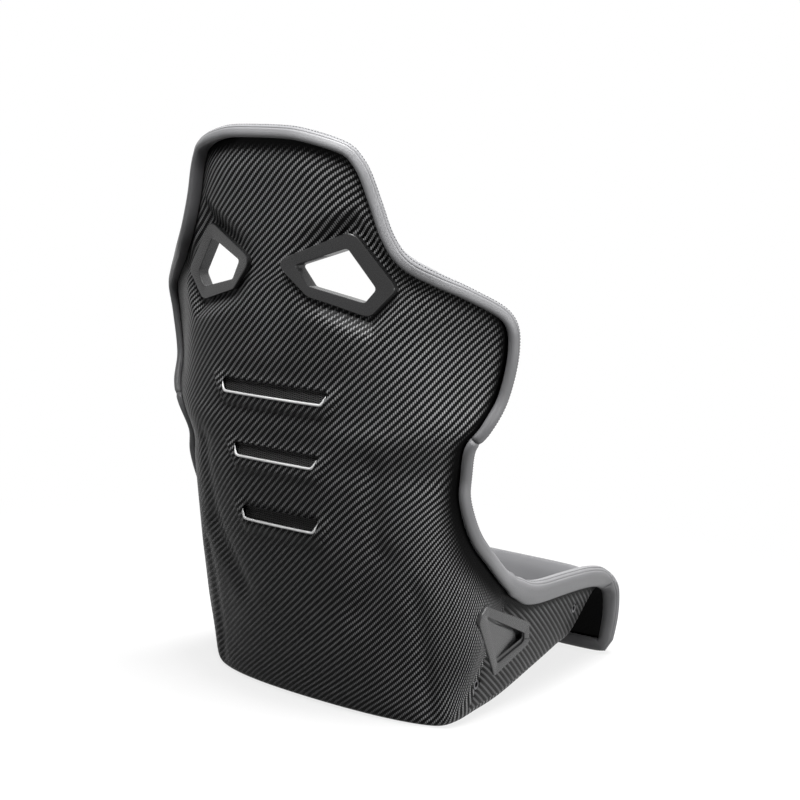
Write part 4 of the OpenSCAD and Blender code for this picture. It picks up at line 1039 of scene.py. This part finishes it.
def rollFrames(path):
    # position, way past the edge and outward normal at each point of a path along the rim
    s, t = path[:, 0], path[:, 1]
    points = plainFace(s, t)
    along = np.zeros_like(points)
    along[1:-1] = points[2:] - points[:-2]
    for end in (0, -1):
        sign = np.sign(path[1, 1] - path[0, 1]) if end == 0 else np.sign(path[-1, 1] - path[-2, 1])
        along[end] = sign * (plainFace([s[end]], [t[end] + 0.05]) - plainFace([s[end]], [t[end] - 0.05]))[0]
    length = np.concatenate([[0], np.cumsum(np.linalg.norm(np.diff(points, axis=0), axis=1))])
    # the way along is averaged over a short stretch, so that corners turn smoothly
    reach = roll["turnStretch"]
    smoothed = np.stack([np.interp(length + reach, length, points[:, k])
                         - np.interp(length - reach, length, points[:, k]) for k in range(3)], 1)
    smoothed[0], smoothed[-1] = along[0], along[-1]
    along = unit(smoothed)
    raw = normalAt(np.clip(s, -0.99, 0.99), t, plainFace)
    normal = unit(raw - along * np.sum(raw * along, 1, keepdims=True))
    return points, np.cross(normal, along), normal, t, length


def sweepRoll(name, path, node):
    points, past, normal, t, length = rollFrames(path)
    rings = []
    for k in range(len(points)):
        section = rollSection(t[k])
        # the cover is drawn in a little where two lengths of roll meet
        ends = min(length[k], length[-1] - length[k])
        draw = 1 - roll["drawIn"] * math.exp(-(ends / roll["drawReach"])**2)
        middle = np.array([0, -wallThickness / 2])
        # the slot's own points stay where they are
        live = np.abs(section[:, 1] - middle[1]) > wallThickness / 2 + fit + 0.01
        section[live] = middle + (section[live] - middle) * draw
        rings.append(points[k] + past[k] * section[:, :1] + normal[k] * section[:, 1:])
    rings = np.array(rings)
    m, n = rings.shape[:2]
    faces = loopFaces(m, n, closed=False, flip=True)
    last = (m - 1) * n
    faces += [list(range(n)), [last + k for k in range(n)][::-1]]
    piece = makePiece(name, rings.reshape(-1, 3), faces, rollLeather, "edge_leather")
    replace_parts(piece, node)
    return rings


def gapHalf(station):
    # half the gap at a seam between two lengths of roll, as a part of a station
    perStation = np.linalg.norm(faceAt([1.0], [station + 0.5])[0] - faceAt([1.0], [station - 0.5])[0])
    return roll["seamGap"] / 2 / perStation


seamHalf, cornerHalf = gapHalf(roll["seamStation"]), gapHalf(roll["cornerStation"])
upperSide = rimPath(1.0, roll["fromHead"], roll["seamStation"] - seamHalf)
upperPath = np.concatenate([upperSide[::-1], acrossPath(0.0), upperSide * (-1, 1)])
lowerPath = rimPath(1.0, roll["seamStation"] + seamHalf, roll["cornerStation"] - cornerHalf)[::-1]
frontSide = rimPath(1.0, roll["cornerStation"] + cornerHalf, lastStation - roll["fromHem"])
frontPath = np.concatenate([frontSide * (-1, 1), acrossPath(float(lastStation))[::-1], frontSide[::-1]])
upperRings = sweepRoll("rollCover.upper", upperPath, "upper_edge_roll")
lowerRings = sweepRoll("rollCover.left", lowerPath, "lower_edge_roll_left")
sweepRoll("rollCover.right", lowerPath[::-1] * (-1, 1), "lower_edge_roll_right")
frontRings = sweepRoll("rollCover.front", frontPath, "front_edge_roll")
# the stitches lie just past the groove of the section's seam, and stop short of each end
stitchPoint = 10 * roll["smoothing"] + 1
ends = slice(roll["stitchEnds"], -roll["stitchEnds"])
seamRuns = [rings[ends, stitchPoint] for rings in (upperRings, lowerRings, frontRings)]
seamRuns.append(seamRuns[1] * (-1, 1, 1))
points, faces = joinParts([stitches(run, *roll["stitch"]) for run in seamRuns])
makePiece("rollStitching", points, faces, threadGrey, "edge_leather")
print("edge rolls made")

# pads
padBase = dict(lift=3.0, gap=5, channel=6, channelHalf=0.05, border=0.42, plump=0.5, swell=0.08,
               piping=1.9, pipingStep=4, stitch=(5, 3.2, 0.55), seamFrom=0.04, seamPoints=60)


def domeOf(u):
    # share of a pad's thickness from one edge to the other
    edge = np.abs(2 * u - 1)
    rise = padBase["plump"] * np.sqrt(np.maximum(1 - edge**4, 0))
    return padBase["border"] + rise + padBase["swell"] * np.sin(math.pi * u)


def grooveOf(value, at):
    # depth of a sewn channel, as a share
    d = np.abs(value - at) / padBase["channelHalf"]
    return np.where(d < 1, (1 + np.cos(math.pi * np.minimum(d, 1))) / 2, 0)


def padPoints(pad, u, v):
    # point of a pad's top at u across and v down, from 0 to 1
    start, end = pad["span"]
    t = start + (end - start) * v
    shape = t.shape
    low, high = pad["edges"](t.ravel())
    s = low.reshape(shape) + (high - low).reshape(shape) * u
    dent = np.zeros(shape)
    for at in pad.get("across", ()):
        dent = np.maximum(dent, grooveOf(v, at))
    for at in pad.get("along", ()):
        dent = np.maximum(dent, grooveOf(u, at))
    lift = pad["thick"] * (1 - pad.get("taper", 0) * v) * domeOf(u) * domeOf(v) - padBase["channel"] * dent
    base = faceAt(s, t) - normalAt(s, t) * (wallThickness + padBase["lift"])
    return base, base + growAt(s, t) * lift[..., None]


def buildPad(name, node, pad, mirror=False):
    nu, nv = pad["grid"]
    u, v = np.meshgrid(np.linspace(0, 1, nu + 1), np.linspace(0, 1, nv + 1))
    base, top = padPoints(pad, u, v)
    points, faces = closedSheet(base, top)
    border = np.concatenate([top[0, :-1], top[:-1, -1], top[-1, :0:-1], top[:0:-1, 0]])
    piping = tube(resample(border, padBase["pipingStep"], True), padBase["piping"], closed=True)
    run = np.linspace(padBase["seamFrom"], 1 - padBase["seamFrom"], padBase["seamPoints"])
    seams = []
    for at in pad.get("across", ()):
        seams.append(stitches(padPoints(pad, run, np.full(len(run), at))[1], *padBase["stitch"]))
    for at in pad.get("along", ()):
        seams.append(stitches(padPoints(pad, np.full(len(run), at), run)[1], *padBase["stitch"]))
    pieces = [(points, faces, padLeather, name), piping + (rollLeather, name + ".piping")]
    if seams:
        pieces.append(joinParts(seams) + (threadGrey, name + ".stitches"))
    for p, f, material, label in pieces:
        if mirror:
            p, f = mirrored(p, f)
        piece = makePiece(label, p, f, material, "pad_leather")
        if label == name:
            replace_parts(piece, node)


def rimClear(t):
    return stationAtRim(t, skirtAt(t) + padBase["gap"])


def centred(edge):
    return lambda t: (-edge(t), edge(t))


backWidth, seatWidth, legWidth = 118, 172, 204
# span: the stations between which a pad lies; across and along: its sewn channels, as shares
pads = dict(
    headPad=dict(node="head_cushion", edges=centred(rimClear), thick=26, grid=(70, 34),
                 along=(0.22, 0.78), fill=0.7, span=(0.9, 2.853)),
    backPad=dict(node="back_cushion", edges=centred(lambda t: stationAtX(t, backWidth)), thick=30,
                 grid=(60, 60), across=(0.25, 0.5, 0.75), fill=0.7, span=(7.349, 12.1)),
    lumbarPad=dict(node="lumbar_cushion", edges=centred(lambda t: stationAtX(t, backWidth)), thick=34,
                   grid=(60, 70), across=(0.33, 0.67), fill=0.7, span=(12.25, 15.9)),
    seatPad=dict(node="seat_cushion", edges=centred(lambda t: stationAtX(t, seatWidth)), thick=40,
                 grid=(80, 90), along=(0.2, 0.8), fill=0.7, span=(18.9, 23.75)),
    legPad=dict(node="leg_cushion", edges=centred(lambda t: stationAtX(t, legWidth)), thick=31,
                taper=0.32, grid=(96, 56), fill=0.7, span=(24.05, 28.3)))
sidePads = dict(
    shoulderPad=dict(node="shoulder_bolster", thick=28, grid=(40, 50), across=(0.36, 0.7), fill=0.7,
                     edges=lambda t: (stationAtX(t, backWidth + padBase["gap"]), rimClear(t)),
                     span=(7.349, 11.3)),
    hipPad=dict(node="hip_bolster", thick=24, grid=(40, 60), across=(0.5,), fill=0.7,
                edges=lambda t: (stationAtX(t, backWidth + padBase["gap"]), rimClear(t)),
                span=(11.55, 15.35)),
    thighPad=dict(node="thigh_bolster", thick=20, grid=(30, 30), fill=0.6,
                  edges=lambda t: (stationAtX(t, seatWidth + padBase["gap"]), rimClear(t)),
                  span=(21.5, 22.78)))
for name, pad in pads.items():
    buildPad(name, pad["node"], pad)
for name, pad in sidePads.items():
    buildPad(name + ".left", pad["node"] + "_left", pad)
    buildPad(name + ".right", pad["node"] + "_right", pad, mirror=True)
print("pads made")

# hook-and-loop strips under the pads
# each strip: the stations at its two ends and how far its middle is from the centre line
tape = dict(width=25, thick=1.8, lift=0.5, rows=9, columns=5,
            strips=((1.2, 2.6, 50), (7.7, 8.7, 100), (12.7, 13.8, 89.5), (14.4, 15, 89.5), (19.4, 20, 120),
                    (22.3, 23, 120), (26.4, 27.2, 120), (8.6, 10, 180), (12.4, 13.4, 180), (21.9, 22.5, 183)))
parts = []
for t0, t1, middle in tape["strips"]:
    tRows = np.linspace(t0, t1, tape["rows"])
    edges = [stationAtX(tRows, middle + k * tape["width"] / 2) for k in (-1, 1)]
    share = np.linspace(0, 1, tape["columns"])
    sGrid = edges[0][:, None] + (edges[1] - edges[0])[:, None] * share[None]
    tGrid = np.repeat(tRows[:, None], len(share), 1)
    base, normal = faceAt(sGrid, tGrid), normalAt(sGrid, tGrid)
    top = base - normal * (wallThickness + tape["lift"])
    strip = closedSheet(top, top - normal * tape["thick"])
    parts += [strip, mirrored(*strip)]
points, faces = joinParts(parts)
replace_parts(makePiece("tapeStrips", points, faces, tapeFabric, "hook_and_loop"), "hook_and_loop_tape")
print("tape strips made")

# belt guides
guideDetail = dict(steps=8, parts=10, bevel=1.4, sharpAngle=28, innerThick=4.4, innerGap=1.6,
                   shoulderFoot=-0.6, lapFoot=-2.4, lapGap=0.6)
lapStart = (0.86, 18.5)  # s and t from which the search for the lap guide's outline sets out
# the lap guide is a scoop: its floor falls from the rear edge of its mouth to a long throat
scoop = dict(ledge=(0.6, 0.6, 6, 0.6, 0.6), ledgeDepth=3.5, ledgeStep=1,
             throat=((91, 154), (-19, 111.5), (-24.5, 98.5), (-12.7, 99.1), (-6.9, 111.9)),
             depths=(3, 10, 10, 9, 9), end=16, back=8, wall=1.8, floor=1.5)


def overPlane(outline, axes, plane, height):
    # points in line with a flat outline, at a height over a plane
    spot, normal = plane
    i, j = axes
    k = 3 - i - j
    outline = np.asarray(outline, float)
    points = np.zeros((len(outline), 3))
    points[:, i], points[:, j] = outline[:, 0], outline[:, 1]
    points[:, k] = spot[k] + (height - normal[i] * (outline[:, 0] - spot[i])
                              - normal[j] * (outline[:, 1] - spot[j])) / normal[k]
    return points


def plateRings(rim, hole, axes, plane, thick, foot):
    # rings of a flat plate with rounded edges, from the foot of its rim to the mouth of its hole
    inward = unit(hole - rim)
    edge = guideDetail["bevel"]
    rows = [(rim, foot), (rim, thick - edge - 0.6), (rim + inward * 0.3, thick - edge * 0.6),
            (rim + inward * edge, thick), (hole - inward * 1.4, thick), (hole - inward * 0.5, thick - 0.2),
            (hole, thick - 1)]
    return [overPlane(line, axes, plane, height) for line, height in rows]


def placeGuide(name, node, rings, flip):
    rings = np.stack(rings, 1)
    faces = loopFaces(*rings.shape[:2], flip=flip)
    points = rings.reshape(-1, 3)
    for side in ("left", "right"):
        p, f = (points, faces) if side == "left" else mirrored(points, faces)
        piece = makePiece(name + "." + side, p, f, guidePlastic, "guide_plastic",
                          sharp=guideDetail["sharpAngle"])
        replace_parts(piece, node + "_" + side)


def guideOutlines(guide):
    parts, steps = guideDetail["parts"], guideDetail["steps"]
    return [ring2d(guide[line], guide[corners], parts, steps)
            for line, corners in (("rim", "corners"), ("hole", "holeCorners"))]


def innerPlate(rim, hole, axes, plane, low, collar):
    # rings of the plate on the inner side, from its rim to the collar that it fits round
    thick = guideDetail["innerThick"]
    inward = unit(hole - rim)
    rows = [(rim, -low), (rim + inward * 0.3, -low - thick * 0.6), (rim + inward * 2.4, -low - thick),
            (hole - inward * (collar + 2), -low - thick),
            (hole - inward * (collar + 0.4), -low - thick + 0.8), (hole - inward * (collar + 0.3), -low)]
    return [overPlane(line, axes, plane, height) for line, height in rows]


def shoulderRings(guide):
    rim, hole = guideOutlines(guide)
    inward = unit(hole - rim)
    plane = (np.array(flats[0]["spot"], float), unit(np.array(flats[0]["normal"], float)))
    collar, foot, deep = guide["collar"], guideDetail["shoulderFoot"], wallThickness + guide["deep"]
    rear = plateRings(rim, hole, (0, 2), plane, guide["thick"], foot)
    back = ((hole, -deep), (hole - inward * collar, -deep), (hole - inward * collar, foot))
    rear += [overPlane(line, (0, 2), plane, height) for line, height in back]
    return rear, innerPlate(rim, hole, (0, 2), plane, wallThickness + guideDetail["innerGap"], collar)


def bandRings(a, b, profile):
    # rings across the band between matched stations: share from rim to hole, height, slide along it
    way = unit(faceAt(b[:, 0], b[:, 1]) - faceAt(a[:, 0], a[:, 1]))
    rings = []
    for share, height, slide in profile:
        mix = a + (b - a) * share
        rings.append(faceAt(mix[:, 0], mix[:, 1]) + normalAt(mix[:, 0], mix[:, 1]) * height + way * slide)
    return rings


def lapRings(guide):
    outline = guideOutlines(guide)
    rim, hole = outline
    a, b = (np.stack(locate(line, (1, 2), *lapStart), 1) for line in outline)
    plane = (np.array(guide["plane"][0], float), unit(np.array(guide["plane"][1])))
    collar, parts, steps = guide["collar"], guideDetail["parts"], guideDetail["steps"]

    def onPlane(line, height):
        return overPlane(line, (1, 2), plane, height)

    outer = bandRings(a, b, [(0, fit, 0)])
    outer += plateRings(rim, hole, (1, 2), plane, 0, guideDetail["lapFoot"])
    outer.append(onPlane(hole, -scoop["ledgeDepth"] + scoop["ledgeStep"]))
    ledge = ring2d(inset2d(guide["hole"], scoop["ledge"]), guide["holeCorners"], parts, steps)
    outer.append(onPlane(ledge, -scoop["ledgeDepth"]))
    throat = ring2d(scoop["throat"], 1, parts, steps)
    # the depth goes evenly from each corner's to the next one's
    sides = len(scoop["throat"])
    corner = (np.arange(len(throat)) - (steps - 1) / 2) / (len(throat) // sides)
    depth = np.interp(corner, np.arange(sides + 1), scoop["depths"] + scoop["depths"][:1], period=sides)
    outer.append(onPlane(throat, -depth))
    end = throat + (scoop["back"], 0)
    outer.append(onPlane(end, -scoop["end"]))
    out = unit(throat - throat.mean(0)) * scoop["wall"]
    outer += [onPlane(end + out, -scoop["end"]), onPlane(throat + out, -depth - scoop["floor"])]
    outer += bandRings(a, b, [(1, -wallThickness - guide["deep"], -collar), (1, fit, -collar), (0.5, fit, 0)])
    # the inner plate's section, as share of the band, height and slide
    low = wallThickness + fit + guideDetail["lapGap"]
    inside = [(0, -low, 0), (0, -low - 4.4, 1.2), (0, -low - 5, 2.7), (0.5, -low - 5, 0),
              (1, -low - 5, -collar - 2), (1, -low - 4.2, -collar - 0.4), (1, -low, -collar - 0.3),
              (0.5, -low, 0)]
    return outer, bandRings(a, b, inside)


shoulderRear, shoulderFront = shoulderRings(shoulderGuide)
lapOuter, lapInner = lapRings(lapGuide)
placeGuide("shoulderBezel.rear", "shoulder_guide_rear", shoulderRear, False)
placeGuide("shoulderBezel.front", "shoulder_guide_front", shoulderFront, True)
placeGuide("lapBezel.outer", "lap_guide_outer", lapOuter, True)
placeGuide("lapBezel.inner", "lap_guide_inner", lapInner, False)


def keepSolid(node, material):
    # shows the part's own solid in a material of this scene
    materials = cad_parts[node].data.materials
    materials.clear()
    materials.append(material)


keepSolid("crotch_guide_lower", guidePlastic)
keepSolid("crotch_guide_upper", guidePlastic)
print("belt guides made")

# mount inserts
keepSolid("mount_inserts_left", insertSteel)
keepSolid("mount_inserts_right", insertSteel)
print("mount inserts made")

# floor, lights, camera
studio = dict(floorSize=14, floorColor=(0.86, 0.86, 0.86), floorBounce=(0.06, 0.06, 0.06),
              floorRoughness=0.9, floorSpecular=0.1, world=0.03,
              clearFrom=0.45, clearTo=1.3, shadowShare=0.78, aim=(0, 0.05, 0.4),
              key=dict(place=(-0.5, 0.35, 2.8), size=1.2, power=140),
              right=dict(place=(-2.3, -0.3, 0.6), size=1.2, power=42),
              left=dict(place=(2.1, -0.9, 1.75), size=0.9, power=6),
              back=dict(place=(-0.25, 0.9, 1.45), size=0.5, power=12),
              front=dict(place=(0.4, -2.3, 1.5), size=1.6, power=14))


def whiteForCamera(tree, plain):
    # seen directly or in a reflection this is the white background; for light it stays plain
    path = tree.nodes.new("ShaderNodeLightPath")
    seen = calc(tree, "MAXIMUM", path.outputs["Is Camera Ray"],
                calc(tree, "MAXIMUM", path.outputs["Is Glossy Ray"], path.outputs["Is Transmission Ray"]))
    mix = tree.nodes.new("ShaderNodeMixShader")
    kind = "ShaderNodeBackground" if plain.node.type == "BACKGROUND" else "ShaderNodeEmission"
    white = tree.nodes.new(kind)
    white.inputs["Color"].default_value = (1, 1, 1, 1)
    white.inputs["Strength"].default_value = 1.0
    tree.links.new(seen, mix.inputs[0])
    tree.links.new(plain, mix.inputs[1])
    tree.links.new(white.outputs[0], mix.inputs[2])
    return mix.outputs[0], mix, seen


def buildFloor():
    half = studio["floorSize"] / 2
    mesh = bpy.data.meshes.new("floor")
    corners = [(x * half, y * half, 0) for x, y in ((-1, -1), (1, -1), (1, 1), (-1, 1))]
    mesh.from_pydata(corners, [], [(0, 1, 2, 3)])
    material, tree, shader = newMaterial("floorPaper")
    shader.inputs["Roughness"].default_value = studio["floorRoughness"]
    shader.inputs["Specular IOR Level"].default_value = studio["floorSpecular"]
    out = tree.nodes["Material Output"]
    result, mix, seen = whiteForCamera(tree, shader.outputs[0])
    paper = blendColor(tree, seen, studio["floorBounce"], studio["floorColor"])
    tree.links.new(paper, shader.inputs["Base Color"])
    # under the seat part of the floor's own shading stays, so that the shadow still shows
    far = tree.nodes.new("ShaderNodeVectorMath")
    far.operation = "LENGTH"
    tree.links.new(positionNode(tree), far.inputs[0])
    clear = tree.nodes.new("ShaderNodeMapRange")
    clear.interpolation_type = "SMOOTHSTEP"
    for label, value in (("From Min", studio["clearFrom"]), ("From Max", studio["clearTo"]),
                         ("To Min", studio["shadowShare"])):
        clear.inputs[label].default_value = value
    tree.links.new(far.outputs["Value"], clear.inputs["Value"])
    tree.links.new(calc(tree, "MULTIPLY", seen, clear.outputs[0]), mix.inputs[0])
    tree.links.new(result, out.inputs["Surface"])
    mesh.materials.append(material)
    floor = bpy.data.objects.new("floor", mesh)
    bpy.context.scene.collection.objects.link(floor)


def buildWorld():
    world = bpy.data.worlds.new("studio")
    world.use_nodes = True
    bpy.context.scene.world = world
    tree = world.node_tree
    plain = tree.nodes["Background"]
    plain.inputs["Color"].default_value = (1, 1, 1, 1)
    plain.inputs["Strength"].default_value = studio["world"]
    result = whiteForCamera(tree, plain.outputs[0])[0]
    tree.links.new(result, tree.nodes["World Output"].inputs["Surface"])


def addSoftbox(name, place, size, power):
    light = bpy.data.lights.new(name, "AREA")
    light.shape = "SQUARE"
    light.size = size
    light.energy = power
    lamp = bpy.data.objects.new(name, light)
    lamp.location = place
    aim = Vector(studio["aim"]) - Vector(place)
    lamp.rotation_euler = aim.to_track_quat("-Z", "Y").to_euler()
    bpy.context.scene.collection.objects.link(lamp)


# focal length in pixels of a frame this wide, on a sensor in mm; turn in degrees
view = dict(place=(-1.07718, 1.6723, 0.69946), turn=(82.0357, -3.4857, -147.1093),
            focalPixels=1350, frameWidth=800, sensor=36)


def buildCamera():
    data = bpy.data.cameras.new("camera")
    data.sensor_width = view["sensor"]
    data.lens = view["focalPixels"] / view["frameWidth"] * view["sensor"]
    camera = bpy.data.objects.new("camera", data)
    turn = Euler([math.radians(angle) for angle in view["turn"]])
    camera.matrix_world = Matrix.Translation(view["place"]) @ turn.to_matrix().to_4x4()
    bpy.context.scene.collection.objects.link(camera)
    bpy.context.scene.camera = camera


buildFloor()
buildWorld()
for name in ("key", "right", "left", "back", "front"):
    addSoftbox(name + "Softbox", **studio[name])
buildCamera()
bpy.context.scene.view_settings.view_transform = "Standard"
print("studio made")
